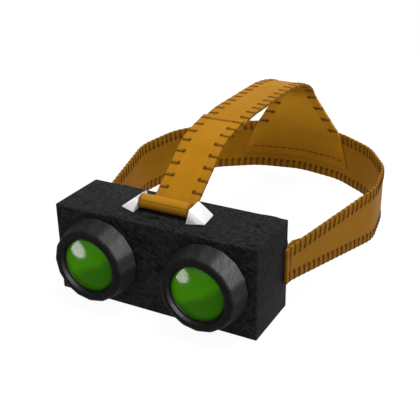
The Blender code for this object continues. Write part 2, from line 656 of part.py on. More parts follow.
def eyepiece(side, finishes):
    """One eyepiece: fixed barrel, diopter ring, sliding lens cell and eye lens."""
    where = SIDE_NAMES[side]
    seat = -COVER_THICKNESS - FIT_GAP
    flange = seat - EYE_FLANGE_THICKNESS
    barrel = [(EYE_BARREL_BORE, EYE_BARREL_REACH), (EYE_BARREL_RADIUS, EYE_BARREL_REACH),
              (EYE_BARREL_RADIUS, seat), (EYE_FLANGE_RADIUS, seat), (EYE_FLANGE_RADIUS, flange),
              (EYE_BARREL_BORE, flange)]
    eyepiece_piece(f"eyepiece_barrel_{where}", turned(barrel, hollow=True), side, finishes["metal"])

    bore = EYE_BARREL_RADIUS + FIT_GAP
    end = FIT_GAP + DIOPTER_LENGTH
    edge = DIOPTER_RADIUS - DIOPTER_CHAMFER
    ring = [(bore, FIT_GAP), (DIOPTER_RADIUS, FIT_GAP), (DIOPTER_RADIUS, end - DIOPTER_CHAMFER), (edge, end),
            (bore, end)]
    bm = flatten_grip(turned(ring, hollow=True), GRIP_FLATS, EYE_BARREL_RADIUS + 2 * FIT_GAP)
    eyepiece_piece(f"diopter_ring_{where}", bm, side, finishes["rubber"])

    outer = EYE_BARREL_BORE - FIT_GAP
    seat_radius = EYE_LENS_RADIUS + FIT_GAP
    inner = EYE_LENS_RADIUS - EYE_SHOULDER
    front = -EYE_CELL_FRONT_DEPTH
    shoulder = EYE_CELL_REACH - EYE_LENS_THICKNESS - FIT_GAP
    cell = [(seat_radius, EYE_CELL_REACH), (outer, EYE_CELL_REACH), (outer, front), (inner, front),
            (inner, shoulder), (seat_radius, shoulder)]
    eyepiece_piece(f"eyepiece_cell_{where}", turned(cell, hollow=True), side, finishes["metal"])

    edge_height = EYE_CELL_REACH - EYE_LENS_DOME
    glass = dome(EYE_LENS_RADIUS, edge_height, EYE_LENS_DOME, 3)
    glass += [(EYE_LENS_RADIUS, shoulder + FIT_GAP), (0, shoulder + FIT_GAP)]
    eyepiece_piece(f"eyepiece_lens_{where}", turned(glass), side, finishes["eye_lens"])


def electronics(finishes):
    """The power board, standing on the chassis, with the high voltage converter on it."""
    board_rear = FRONT_Y + CHASSIS_FRONT_DEPTH - FIT_GAP
    board_front = board_rear - BOARD_THICKNESS
    half = BOARD_HEIGHT / 2
    bm = bmesh.new()
    add_box(bm, (-BOARD_HALF_WIDTH, board_front, AXIS_Z - half), (BOARD_HALF_WIDTH, board_rear, AXIS_Z + half))
    solid("power_board", bm, finishes["board"])
    rear = board_front - FIT_GAP
    bm = bmesh.new()
    add_box(bm, (-CONVERTER_WIDTH / 2, rear - CONVERTER_DEPTH, AXIS_Z - CONVERTER_HEIGHT / 2),
            (CONVERTER_WIDTH / 2, rear, AXIS_Z + CONVERTER_HEIGHT / 2))
    bmesh.ops.bevel(bm, geom=bm.edges[:], offset=EDGE_ROUND, segments=1, profile=0.5, affect="EDGES", material=-1)
    solid("voltage_converter", bm, finishes["potting"])


def battery_bay(finishes):
    """The tray, its springs and contact strip, and two small cells standing side by side."""
    bm = bmesh.new()
    add_box(bm, (-INSIDE_X + FIT_GAP, TRAY_FRONT_Y, TRAY_BOTTOM), (TRAY_BACK_X, TRAY_REAR_Y, TRAY_TOP))
    tray = solid("battery_tray", bm, finishes["plastic"])
    hollow = bmesh.new()
    add_box(hollow, (-INSIDE_X - OVERRUN, TRAY_FRONT_Y + TRAY_WALL, TRAY_BOTTOM + TRAY_WALL),
            (TRAY_FLOOR_X, TRAY_REAR_Y - TRAY_WALL, TRAY_TOP - TRAY_WALL))
    cut(tray, "tray_hollow", hollow)

    width = BATTERY_SIDE + SPRING_RADIUS
    bm = bmesh.new()
    add_box(bm, (BATTERY_X - SPRING_RADIUS, BAY_Y - width, CONTACT_Z),
            (BATTERY_X + SPRING_RADIUS, BAY_Y + width, CONTACT_Z + CONTACT_THICKNESS))
    solid("battery_contact", bm, finishes["nickel"])

    shoulder = BATTERY_LENGTH - BATTERY_TERMINAL_HEIGHT
    battery = [(0, 0), (BATTERY_RADIUS, 0), (BATTERY_RADIUS, shoulder), (BATTERY_TERMINAL_RADIUS, shoulder),
               (BATTERY_TERMINAL_RADIUS, BATTERY_LENGTH), (0, BATTERY_LENGTH)]
    top = SPRING_RADIUS - SPRING_WALL
    spring = [(SPRING_RADIUS - SPRING_WALL, 0), (SPRING_RADIUS, 0), (top, SPRING_HEIGHT),
              (top - SPRING_WALL, SPRING_HEIGHT)]
    for step, where in ((-1, "front"), (1, "rear")):
        y = BAY_Y + step * BATTERY_SIDE
        solid(f"battery_spring_{where}", turned(spring, SMALL_STEPS, hollow=True), finishes["nickel"],
              (BATTERY_X, y, SPRING_Z))
        solid(f"battery_{where}", turned(battery, SMALL_STEPS), finishes["battery"], (BATTERY_X, y, BATTERY_Z))


def battery_door(finishes):
    """The door, flush with the side, turning on a pin along its front edge."""
    half = DOOR_THICKNESS / 2
    rear = DOORWAY_REAR_Y - FIT_GAP - HINGE_Y
    arc = [math.pi * i / 6 for i in range(7)]
    outline = [(-half, rear)] + [(-half * math.cos(a), -half * math.sin(a)) for a in arc] + [(half, rear)]
    bottom, top = DOORWAY_BOTTOM + FIT_GAP, DOORWAY_TOP - FIT_GAP
    bm = bmesh.new()
    add_loops(bm, [[(x, y, z) for x, y in outline] for z in (bottom - AXIS_Z, top - AXIS_Z)])
    door = solid("battery_door", bm, finishes["plastic"], (HINGE_X, HINGE_Y, AXIS_Z))
    holes = bmesh.new()
    add_rod(holes, (HINGE_X, HINGE_Y, bottom - OVERRUN), (HINGE_X, HINGE_Y, top + OVERRUN), DOOR_PIN_RADIUS + FIT_GAP)
    middle = (bottom + top) / 2
    notch_y = DOORWAY_REAR_Y - FIT_GAP
    add_rod(holes, (HINGE_X - half - OVERRUN, notch_y, middle), (HINGE_X - half + DOOR_NOTCH_DEPTH, notch_y, middle),
            DOOR_NOTCH_RADIUS)
    cut(door, "door_pin_bore_and_notch", holes)

    bm = bmesh.new()
    reach = (DOORWAY_TOP - DOORWAY_BOTTOM) / 2 + DOOR_PIN_SEAT
    add_rod(bm, (0, 0, -reach), (0, 0, reach), DOOR_PIN_RADIUS)
    solid("battery_door_pin", bm, finishes["nickel"], (HINGE_X, HINGE_Y, (DOORWAY_TOP + DOORWAY_BOTTOM) / 2))


def power_switch(finishes):
    """The rotary switch inside the wall, and its knob outside."""
    y = FRONT_Y + KNOB_DEPTH
    half = SWITCH_SIDE / 2
    outer = -INSIDE_X + FIT_GAP
    bm = bmesh.new()
    add_box(bm, (outer, y - half, KNOB_Z - half), (outer + SWITCH_THICKNESS, y + half, KNOB_Z + half))
    solid("power_switch", bm, finishes["board"])

    edge = KNOB_RADIUS - KNOB_CHAMFER
    section = [(0, KNOB_REACH), (edge, KNOB_REACH), (KNOB_RADIUS, KNOB_REACH - KNOB_CHAMFER),
               (KNOB_RADIUS, FIT_GAP), (KNOB_SHAFT_RADIUS, FIT_GAP), (KNOB_SHAFT_RADIUS, -SIDE_WALL), (0, -SIDE_WALL)]
    knob = solid("power_knob", flatten_grip(turned(section), GRIP_FLATS, KNOB_SHAFT_RADIUS + FIT_GAP),
                 finishes["plastic"], (-SIDE_X, y, KNOB_Z), (0, -math.pi / 2, 0))
    mark = bmesh.new()
    add_box(mark, (-SIDE_X - KNOB_REACH - OVERRUN, y - KNOB_MARK_WIDTH / 2, KNOB_Z),
            (-SIDE_X - KNOB_REACH + KNOB_MARK_DEPTH, y + KNOB_MARK_WIDTH / 2, KNOB_Z + KNOB_RADIUS + OVERRUN))
    cut(knob, "knob_mark", mark)


def strap_bracket(side, finishes):
    """A white wedge on the top face that holds one end of the strap bar, and its screw."""
    where = SIDE_NAMES[side]
    base = HOUSING_HEIGHT + FIT_GAP
    inner = BRACKET_SIDE
    wide, narrow = inner + BRACKET_WIDTH, inner + BRACKET_REAR_WIDTH
    corners = [
        (inner, BRACKET_FOOT_FRONT, 0), (inner, BRACKET_SHOULDER_DEPTH, BRACKET_SHOULDER_HEIGHT),
        (inner, BRACKET_PEAK_DEPTH, BRACKET_PEAK_HEIGHT), (inner, BRACKET_FOOT_REAR, 0),
        (wide, BRACKET_OUTER_FRONT, 0), (wide, BRACKET_OUTER_FRONT, BRACKET_SKIRT),
        (narrow, BRACKET_OUTER_REAR, 0), (narrow, BRACKET_OUTER_REAR, BRACKET_SKIRT),
    ]
    bm = bmesh.new()
    for x, depth, rise in corners:
        bm.verts.new((side * x, FRONT_Y + depth, base + rise))
    bmesh.ops.convex_hull(bm, input=bm.verts)
    bmesh.ops.dissolve_limit(bm, angle_limit=math.radians(1), verts=bm.verts, edges=bm.edges)
    bmesh.ops.bevel(bm, geom=[edge for edge in bm.edges if max(v.co.z for v in edge.verts) > base + BRACKET_SKIRT / 2],
                    offset=BRACKET_ROUND, segments=2, profile=0.5, affect="EDGES", material=-1)
    bracket = solid(f"strap_bracket_{where}", bm, finishes["white"])
    holes = bmesh.new()
    add_rod(holes, (side * (inner - OVERRUN), BAR_Y, BAR_Z), (side * (inner + BAR_PIN_LENGTH + FIT_GAP), BAR_Y, BAR_Z),
            BAR_PIN_RADIUS + FIT_GAP)
    x, y = side * BRACKET_SCREW_SIDE, FRONT_Y + BRACKET_SCREW_DEPTH
    add_rod(holes, (x, y, base - OVERRUN), (x, y, base + BRACKET_SCREW_BITE + FIT_GAP), BRACKET_SCREW_RADIUS + FIT_GAP)
    cut(bracket, f"bracket_holes_{where}", holes)

    head_top = INSIDE_TOP - FIT_GAP
    neck = head_top - HOUSING_HEIGHT
    tip = FIT_GAP + BRACKET_SCREW_BITE
    section = [(0, tip), (BRACKET_SCREW_RADIUS, tip), (BRACKET_SCREW_RADIUS, neck), (SCREW_HEAD_RADIUS, neck),
               (SCREW_HEAD_RADIUS, neck - SCREW_HEAD_HEIGHT), (0, neck - SCREW_HEAD_HEIGHT)]
    solid(f"bracket_screw_{where}", turned(section, SMALL_STEPS), finishes["nickel"], (x, y, HOUSING_HEIGHT))


def strap_bar_and_roll(finishes):
    """The bar between the brackets, and the leather roll that turns on it."""
    end = BRACKET_SIDE - FIT_GAP
    tip = BRACKET_SIDE + BAR_PIN_LENGTH
    bar = [(0, tip), (BAR_PIN_RADIUS, tip), (BAR_PIN_RADIUS, end), (BAR_RADIUS, end), (BAR_RADIUS, -end),
           (BAR_PIN_RADIUS, -end), (BAR_PIN_RADIUS, -tip), (0, -tip)]
    solid("strap_bar", turned(bar, SMALL_STEPS), finishes["nickel"], (0, BAR_Y, BAR_Z), (0, math.pi / 2, 0))
    bore, face = BAR_RADIUS + FIT_GAP, ROLL_HALF_LENGTH
    shoulder = ROLL_RADIUS - ROLL_END_ROUND
    roll = [(bore, face), (shoulder, face), (ROLL_RADIUS, face - ROLL_END_ROUND),
            (ROLL_RADIUS, ROLL_END_ROUND - face), (shoulder, -face), (bore, -face)]
    solid("strap_roll", turned(roll, 24, hollow=True), finishes["leather"], (0, BAR_Y, BAR_Z), (0, math.pi / 2, 0))


def crown_place(share, half_width):
    """A place on the crown strap, given as shares of the band's reach and the crown's height."""
    return (FRONT_Y + share[0] * BAND_REACH, share[1] * CROWN_TOP_HEIGHT, half_width)


def crown_row(place, columns=4):
    y, z, half = place
    return [(half * (2 * i / columns - 1), y, z) for i in range(columns + 1)]


def crown_strap_front(finish):
    """From under the roll up to the lap, where it lies over the rear strap."""
    half = CROWN_HALF_WIDTH
    floor = HOUSING_HEIGHT + FIT_GAP + LEATHER
    lap = crown_place(CROWN_LAP_SHARE, half)
    bend = crown_place(CROWN_BEND_SHARE, half)
    near = (BAR_Y + ROLL_RADIUS, floor + FIT_GAP / 2, half)
    rise = (BAR_Y + ROLL_RADIUS + LEATHER * 1.7, floor + LEATHER * 0.3, half)
    free = (BAR_Y + 2.5 * ROLL_RADIUS, BAR_Z, half)
    path = softened([near, rise, free, bend, lap], CROWN_SOFTENING)
    leather_piece("crown_strap_front", [crown_row(place) for place in path], LEATHER, finish)


def band_path():
    """The head band's outer face from above, left end to right end, with its lower and upper edge."""
    flat_x = SIDE_X + FIT_GAP + LEATHER
    front, low, high = BAND_FRONT_HALF_HEIGHT, BAND_BOTTOM_HEIGHT, BAND_TOP_HEIGHT
    right = [(flat_x, y, AXIS_Z - front, AXIS_Z + front) for y in (BAND_FRONT_Y, BAND_BEND_Y)]
    right += [(x * BAND_HALF_WIDTH, FRONT_Y + y * BAND_REACH, low, high) for x, y in BAND_CORNER_SHARES]
    left = [(-x, y, bottom, top) for x, y, bottom, top in right[:-1]]
    return softened(left + right[::-1], BAND_SOFTENING)


def head_band(finish):
    path = band_path()
    rows = [[(x, y, low + (high - low) * step / 3) for step in range(4)] for x, y, low, high in path]
    leather_piece("head_band", rows, LEATHER, finish)


def band_inner_y(x, gap):
    """How far back the band's inner face is, less a gap, at a place across the back of the head."""
    path = band_path()
    inner = []
    for (px, py, _, _), normal in zip(path, plan_normals(path)):
        inner.append((px + normal.x * (LEATHER + gap), py + normal.y * (LEATHER + gap)))
    for (x0, y0), (x1, y1) in zip(inner, inner[1:]):
        if x0 <= x <= x1 and y0 > REAR_Y + BAND_REACH / 2:
            return y0 + (y1 - y0) * (x - x0) / max(x1 - x0, FIT_GAP / 1000)
    return max(y for _, y in inner)


def crown_strap_rear(finish):
    """The rear strap, which widens into the yoke sewn inside the band at the back."""
    half = CROWN_HALF_WIDTH
    lap = crown_place(CROWN_LAP_SHARE, half)
    bend = crown_place(CROWN_BEND_SHARE, half)
    slope = (lap[1] - bend[1]) / (lap[0] - bend[0])
    drop = LEATHER * math.hypot(1, slope) + FIT_GAP * 4 / 3
    start = (lap[0] - LAP_LENGTH, lap[1] - slope * LAP_LENGTH - drop, half)
    under = (lap[0], lap[1] - drop, half)
    back = [crown_place(share, half) for share in CROWN_BACK_SHARES]
    neck = crown_place(YOKE_NECK_SHARE, YOKE_NECK_HALF_WIDTH)
    path = softened([start, under, *back, neck], CROWN_SOFTENING)
    columns = 8
    rows = [crown_row(place, columns) for place in path]
    foot_gap = FIT_GAP * 4 / 3
    for step in range(1, 5):
        t = step / 4
        row = []
        for i in range(columns + 1):
            across = 2 * i / columns - 1
            waist_x = across * YOKE_WAIST_HALF_WIDTH
            x = across * (YOKE_NECK_HALF_WIDTH * (1 - t) + YOKE_WAIST_HALF_WIDTH * t)
            y = neck[0] * (1 - t) + band_inner_y(waist_x, foot_gap) * t
            row.append((x, y, neck[1] * (1 - t) + BAND_TOP_HEIGHT * t))
        rows.append(row)
    for step in (1, 2):
        t = step / 2
        row = []
        for i in range(columns + 1):
            x = (2 * i / columns - 1) * (YOKE_WAIST_HALF_WIDTH * (1 - t) + YOKE_FOOT_HALF_WIDTH * t)
            row.append((x, band_inner_y(x, foot_gap), BAND_TOP_HEIGHT * (1 - t) + YOKE_BOTTOM_HEIGHT * t))
        rows.append(row)
    leather_piece("crown_strap_rear", rows, LEATHER, finish)


def strap_anchor(side, finishes):
    """The inner leather patch behind an ear, and the stud that the strap turns on."""
    where = SIDE_NAMES[side]
    flat_x = EAR_INNER_X - FIT_GAP
    start_y = PIVOT_Y - PATCH_RADIUS
    first = (SIDE_X + FIT_GAP + LEATHER, BAND_BEND_Y)
    second = (BAND_HALF_WIDTH, FRONT_Y + BAND_CORNER_SHARES[0][1] * BAND_REACH)
    slope = (second[0] - first[0]) / (second[1] - first[1])
    join_gap = LEATHER * math.hypot(1, slope) + FIT_GAP * 4 / 3
    clear_y = PIVOT_Y + EAR_RADIUS + 3 * FIT_GAP
    meet_y = clear_y + 2 * PATCH_RADIUS
    end_y = start_y + PATCH_LENGTH

    def band_x(y):
        return first[0] + slope * (y - first[1]) - join_gap

    spine = [(flat_x, clear_y), (band_x(meet_y), meet_y), (band_x(end_y), end_y)]
    ends = [math.radians(10 + 16 * i) for i in range(6)]
    rows = [(flat_x, PIVOT_Y - PATCH_RADIUS * math.cos(a), PATCH_RADIUS * math.sin(a)) for a in ends]
    rows += [(x, y, PATCH_RADIUS) for x, y in softened(spine, PATCH_RADIUS)]
    sheet_rows = []
    for x, y, half in rows:
        across = [(side * x, y, AXIS_Z + half * share) for share in (1, 0, -1)]
        sheet_rows.append(across if side > 0 else across[::-1])
    patch = leather_piece(f"strap_patch_{where}", sheet_rows, PATCH_THICKNESS, finishes["leather"])
    holes = bmesh.new()
    inner = flat_x - PATCH_THICKNESS
    floor = inner + PATCH_COUNTERSINK
    rims = ((STUD_INNER_HEAD_RADIUS + FIT_GAP, inner - OVERRUN), (STUD_INNER_HEAD_RADIUS + FIT_GAP, floor),
            (STUD_RADIUS + FIT_GAP, floor), (STUD_RADIUS + FIT_GAP, flat_x + OVERRUN))
    angles = [2 * math.pi * i / SMALL_STEPS for i in range(SMALL_STEPS)]
    add_loops(holes, [[(side * x, PIVOT_Y + r * math.cos(a), AXIS_Z + r * math.sin(a)) for a in angles]
                      for r, x in rims])
    cut(patch, f"patch_bore_{where}", holes)

    head_base = EAR_OUTER_X + FIT_GAP
    head_top = head_base + STUD_HEAD_HEIGHT
    inner_top = inner + STUD_INNER_HEAD_HEIGHT
    section = [(0, head_top), (STUD_HEAD_RADIUS, head_top), (STUD_HEAD_RADIUS, head_base), (STUD_RADIUS, head_base),
               (STUD_RADIUS, inner_top), (STUD_INNER_HEAD_RADIUS, inner_top), (STUD_INNER_HEAD_RADIUS, inner),
               (0, inner)]
    solid(f"pivot_stud_{where}", turned(section, SMALL_STEPS), finishes["nickel"], (0, PIVOT_Y, AXIS_Z),
          (0, side * math.pi / 2, 0))


def shield_outline():
    """The shield's outer edge from behind, centred on the optical axis' height."""
    right = [(x * SHIELD_HALF_WIDTH, z * SHIELD_HALF_HEIGHT) for x, z in SHIELD_SIDE_SHARES]
    nose = [(x * SHIELD_HALF_WIDTH, z * SHIELD_HALF_HEIGHT) for x, z in SHIELD_NOSE_SHARES]
    left = [(-x, z) for x, z in reversed(right + nose)]
    return softened(right + nose + left, SHIELD_SOFTENING, 3, closed=True)


def face_shield(finishes):
    """The stiff frame behind the cover, and the cushion that meets the face."""
    outline = shield_outline()
    normals = plan_normals(outline, closed=True)

    def loop(inset, rise):
        return [(x + n.x * inset, REAR_Y + rise(x), AXIS_Z + z + n.y * inset)
                for (x, z), n in zip(outline, normals)]

    def flat(height):
        return lambda x: height

    base, top = FIT_GAP, FIT_GAP + SHIELD_FRAME_THICKNESS
    bm = bmesh.new()
    add_loops(bm, [loop(0, flat(base)), loop(0, flat(top)), loop(SHIELD_RING_WIDTH, flat(top)),
                   loop(SHIELD_RING_WIDTH, flat(base))], close_ends=False)
    frame = solid("shield_frame", bm, finishes["plastic"])
    pegs = bmesh.new()
    for side in (-1, 1):
        for rise in (-1, 1):
            x, z = side * PEG_SIDE, AXIS_Z + rise * PEG_RISE
            add_rod(pegs, (x, REAR_Y - PEG_LENGTH, z), (x, REAR_Y + base + SHIELD_FRAME_THICKNESS / 2, z), PEG_RADIUS)
    cut(frame, "shield_pegs", pegs, "UNION")

    foot = top + FIT_GAP

    def cushion_rise(share):
        def rise(x):
            outward = (abs(x) / SHIELD_HALF_WIDTH) ** 2
            depth = SHIELD_BROW_DEPTH + (SHIELD_TEMPLE_DEPTH - SHIELD_BROW_DEPTH) * outward
            return foot + (depth - foot) * share
        return rise

    bm = bmesh.new()
    add_loops(bm, [loop(inset * SHIELD_RING_WIDTH, cushion_rise(depth)) for inset, depth in CUSHION_SECTION_SHARES],
              close_ends=False)
    solid("face_cushion", bm, finishes["foam"])


def main():
    for old in list(bpy.data.objects):
        bpy.data.objects.remove(old)
    finishes = {
        "housing": material("wrinkle_black", (0.012, 0.012, 0.012), 0.62),
        "metal": material("anodised_black", (0.02, 0.02, 0.021), 0.4, 0.8),
        "rubber": material("grip_rubber", (0.02, 0.02, 0.02), 0.55),
        "plastic": material("black_plastic", (0.018, 0.018, 0.018), 0.5),
        "seal": material("seal_rubber", (0.01, 0.01, 0.01), 0.8),
        "lens": material("green_lens", (0.035, 0.19, 0.0), 0.08),
        "eye_lens": material("clear_lens", (0.35, 0.6, 0.45), 0.05),
        "potting": material("potting", (0.03, 0.03, 0.035), 0.35),
        "board": material("board_green", (0.02, 0.12, 0.05), 0.45),
        "battery": material("battery_sleeve", (0.35, 0.36, 0.38), 0.3, 0.6),
        "nickel": material("nickel", (0.6, 0.6, 0.58), 0.3, 1.0),
        "white": material("white_gloss", (0.8, 0.8, 0.8), 0.2),
        "leather": material("tan_leather", (0.45, 0.2, 0.015), 0.5),
        "foam": material("foam_rubber", (0.015, 0.015, 0.016), 0.85),
    }
    housing_shell(finishes["housing"])
    rear_cover(finishes["plastic"])
    cover_gasket(finishes["seal"])
    cover_screws(finishes["nickel"])
    optical_chassis(finishes["plastic"])
    for side in (-1, 1):
        objective(side, finishes)
        intensifier(side, finishes["potting"])
        eyepiece(side, finishes)
        strap_bracket(side, finishes)
        strap_anchor(side, finishes)
    electronics(finishes)
    battery_bay(finishes)
    battery_door(finishes)
    power_switch(finishes)
    strap_bar_and_roll(finishes)
    crown_strap_front(finishes["leather"])
    crown_strap_rear(finishes["leather"])
    head_band(finishes["leather"])
    face_shield(finishes)


main()
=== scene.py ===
import json
import math

import bmesh
import bpy
from mathutils import Matrix, Vector

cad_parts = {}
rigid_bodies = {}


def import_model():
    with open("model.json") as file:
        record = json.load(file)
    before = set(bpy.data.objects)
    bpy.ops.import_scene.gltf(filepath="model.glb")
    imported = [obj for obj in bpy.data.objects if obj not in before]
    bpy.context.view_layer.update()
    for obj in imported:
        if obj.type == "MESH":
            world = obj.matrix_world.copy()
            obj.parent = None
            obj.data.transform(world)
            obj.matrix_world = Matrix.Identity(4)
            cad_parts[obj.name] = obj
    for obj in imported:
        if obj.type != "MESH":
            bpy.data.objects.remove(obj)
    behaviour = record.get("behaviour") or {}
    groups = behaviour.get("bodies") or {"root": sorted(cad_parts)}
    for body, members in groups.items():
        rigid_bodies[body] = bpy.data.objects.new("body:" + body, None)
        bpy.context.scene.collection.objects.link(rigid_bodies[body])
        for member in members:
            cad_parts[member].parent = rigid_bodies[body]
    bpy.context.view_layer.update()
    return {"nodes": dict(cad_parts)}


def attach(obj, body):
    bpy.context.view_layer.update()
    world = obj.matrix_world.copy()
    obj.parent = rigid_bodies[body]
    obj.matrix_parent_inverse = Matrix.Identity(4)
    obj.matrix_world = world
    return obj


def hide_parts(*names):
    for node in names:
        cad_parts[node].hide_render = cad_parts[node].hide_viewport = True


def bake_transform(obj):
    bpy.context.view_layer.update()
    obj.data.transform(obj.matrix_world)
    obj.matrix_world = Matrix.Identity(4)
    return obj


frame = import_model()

nodes = frame["nodes"]


# The housing is a cast light alloy box with a black wrinkle finish, open at the back, where a
# moulded plate is let in. It stands on its flat underside, 28 mm below the lenses' axes.
BOX_HALF_WIDTH = 0.065
BOX_HALF_DEPTH = 0.02035
BOX_HEIGHT = 0.056
AXIS_Z = BOX_HEIGHT / 2
BOX_ROUND = 0.0006
SHARP_CORNER = math.radians(50)
FLAT_CORNER = math.radians(0.5)
SAME_PLACE = 0.00001


class Tone:
    """A value or colour on its way to the shader. Arithmetic on it adds the nodes it takes."""

    def __init__(self, finish, socket):
        self.finish = finish
        self.socket = socket

    def math(self, operation, *others, swap=False):
        values = [self, *others]
        if swap:
            values.reverse()
        return self.finish.node("Math", {"operation": operation}, dict(enumerate(values)))

    def __add__(self, other):
        return self.math("ADD", other)

    def __sub__(self, other):
        return self.math("SUBTRACT", other)

    def __mul__(self, other):
        return self.math("MULTIPLY", other)

    def __truediv__(self, other):
        return self.math("DIVIDE", other)

    def __rsub__(self, other):
        return self.math("SUBTRACT", other, swap=True)

    def __gt__(self, other):
        return self.math("GREATER_THAN", other)

    def __lt__(self, other):
        return self.math("LESS_THAN", other)

    def __abs__(self):
        return self.math("ABSOLUTE")

    __radd__ = __add__
    __rmul__ = __mul__

    def fraction(self):
        return self.math("FRACT")

    def least(self, other):
        return self.math("MINIMUM", other)

    def most(self, other):
        return self.math("MAXIMUM", other)

    def rise(self, low, high):
        """0 below low, 1 above high and smooth between. It falls where low is above high."""
        if low > high:
            return 1 - self.rise(high, low)
        settings = {"interpolation_type": "SMOOTHSTEP", "data_type": "FLOAT"}
        return self.finish.node("MapRange", settings, {0: self, 1: low, 2: high})


class Finish:
    """One material of the goggles, or the studio's world, built up node by node."""

    SOCKETS = {"colour": "Base Color", "roughness": "Roughness", "metallic": "Metallic", "normal": "Normal",
               "coat": "Coat Weight", "coat_roughness": "Coat Roughness", "specular": "Specular IOR Level"}

    def __init__(self, name, world=None):
        self.material = world or bpy.data.materials.new(name)
        self.material.use_nodes = True
        self.tree = self.material.node_tree
        self.shader = self.tree.nodes["Background" if world else "Principled BSDF"]
        self.place = None

    def node(self, kind, settings=None, inputs=None, output=0):
        made = self.tree.nodes.new("ShaderNode" + kind)
        for key, value in (settings or {}).items():
            setattr(made, key, value)
        for key, value in (inputs or {}).items():
            self.plug(made.inputs[key], value)
        return Tone(self, made.outputs[output])

    def plug(self, socket, value):
        if isinstance(value, Tone):
            self.tree.links.new(value.socket, socket)
        else:
            socket.default_value = value

    def here(self):
        """The place on the object, in metres in the row frame."""
        if self.place is None:
            self.place = self.node("TexCoord", output="Object")
        return self.place

    def xyz(self):
        """The place's three numbers."""
        first = self.node("SeparateXYZ", inputs={0: self.here()})
        return [Tone(self, socket) for socket in first.socket.node.outputs]

    def at(self, x=0.0, y=0.0, z=0.0):
        return self.node("CombineXYZ", inputs={0: x, 1: y, 2: z})

    def noise(self, size, detail=2.0, roughness=0.5, place=None, distortion=0.0):
        """Soft clouds, about this size in metres, from 0 to 1."""
        inputs = {"Vector": place or self.here(), "Scale": 1 / size, "Detail": detail,
                  "Roughness": roughness, "Distortion": distortion}
        return self.node("TexNoise", inputs=inputs)

    def cells(self, size, feature):
        """Small cells, about this size in metres, dark in the middle."""
        return self.node("TexVoronoi", {"feature": feature}, {"Vector": self.here(), "Scale": 1 / size})

    def mix(self, factor, first, second):
        """One colour over another. A Mix node's colours are its sockets 6 and 7, and 2 comes out."""
        first, second = [(*c, 1) if isinstance(c, tuple) else c for c in (first, second)]
        return self.node("Mix", {"data_type": "RGBA"}, {0: factor, 6: first, 7: second}, output=2)

    def relief(self, height, depth, distance):
        """Surface relief from a height of 0 to 1."""
        return self.node("Bump", inputs={"Height": height, "Strength": depth, "Distance": distance})

    def set(self, **values):
        for key, value in values.items():
            self.plug(self.shader.inputs[self.SOCKETS[key]], value)
        return self.material


def wrinkle_paint():
    """Black wrinkle enamel: short crinkles that run along the box, with pits and dents between them painted
    darker as shade.
    """
    finish = Finish("wrinkle_paint")
    x, y, z = finish.xyz()
    stretched = finish.at(x * 0.7, y, z + x * 0.3)
    crinkle = finish.noise(0.0024, 4.0, 0.6, stretched, 0.9)
    pits = finish.noise(0.0013, 3.0, 0.6, stretched).rise(0.46, 0.33)
    dents = finish.noise(0.0042, 3.0, 0.55, finish.at(x * 0.45, y + x * 0.12, z)).rise(0.42, 0.30)
    height = crinkle * 0.7 - pits * 0.35 - dents * 0.5
    across = BOX_HALF_WIDTH - abs(x)
    along = BOX_HALF_DEPTH - abs(y)
    up = AXIS_Z - abs(z - AXIS_Z)
    nearest = across.least(along).least(up)
    middle = across.most(along).least(across.most(up)).least(along.most(up))
    worn = (nearest + middle + finish.noise(0.006, 4.0, 0.7) * 0.0011).rise(0.0012, 0.0005)
    base = finish.mix(crinkle.rise(0.40, 0.62), (0.010, 0.010, 0.010), (0.0235, 0.0235, 0.0235))
    # The pits and dents, the hollows of the relief, are painted near black: painted shade.
    base = finish.mix(pits.most(dents) * 0.8, base, (0.0015, 0.0015, 0.0015))
    base = finish.mix(worn * 0.3, base, (0.06, 0.059, 0.057))
    rough = 0.5 + crinkle * 0.15 - worn * 0.1
    return finish.set(colour=base, roughness=rough, normal=finish.relief(height, 0.9, 0.0015), specular=0.03)


def piece(name, bm, material, smooth=35):
    """Makes the bmesh an object at the origin, smooth over edges gentler than the angle."""
    mesh = bpy.data.meshes.new(name)
    bm.to_mesh(mesh)
    bm.free()
    mesh.materials.append(material)
    mesh.shade_smooth()
    mesh.set_sharp_from_angle(angle=math.radians(smooth))
    made = bpy.data.objects.new(name, mesh)
    bpy.context.scene.collection.objects.link(made)
    return made


def rounded(name, width, chosen=None, segments=2):
    """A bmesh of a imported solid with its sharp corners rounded, or only the chosen ones."""
    bm = bmesh.new()
    bm.from_mesh(nodes[name].data)
    bmesh.ops.remove_doubles(bm, verts=bm.verts, dist=SAME_PLACE)
    bmesh.ops.dissolve_limit(bm, angle_limit=FLAT_CORNER, verts=bm.verts, edges=bm.edges)
    sharp = [edge for edge in bm.edges if len(edge.link_faces) == 2 and edge.calc_face_angle() > SHARP_CORNER]
    corners = [edge for edge in sharp if chosen is None or chosen(edge)]
    bmesh.ops.bevel(bm, geom=corners, offset=width, segments=segments, profile=0.5, affect="EDGES",
                    material=-1)
    bmesh.ops.triangulate(bm, faces=[face for face in bm.faces if len(face.verts) > 4])
    return bm


def replaced(made, name, body):
    """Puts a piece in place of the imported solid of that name."""
    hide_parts(name)
    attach(made, body)


def on_box_edge(edge):
    """True for the twelve outer edges of the box."""
    for vert in edge.verts:
        gaps = (BOX_HALF_WIDTH - abs(vert.co.x), BOX_HALF_DEPTH - abs(vert.co.y),
                AXIS_Z - abs(vert.co.z - AXIS_Z))
        if sum(gap < SAME_PLACE for gap in gaps) < 2:
            return False
    return True


box = piece("housing_shell_cast", rounded("housing_shell", BOX_ROUND, on_box_edge, 3), wrinkle_paint(), 40)
replaced(box, "housing_shell", "housing")


# The front barrels, lens cells and eyepiece barrels are turned from alloy bar and anodised black.
# Fine turning marks run round them.
SIDES = {"left": -1, "right": 1}
LENS_X = 0.0353


def paint(material, *names):
    """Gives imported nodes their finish."""
    for name in names:
        slots = nodes[name].data.materials
        slots.clear()
        slots.append(material)


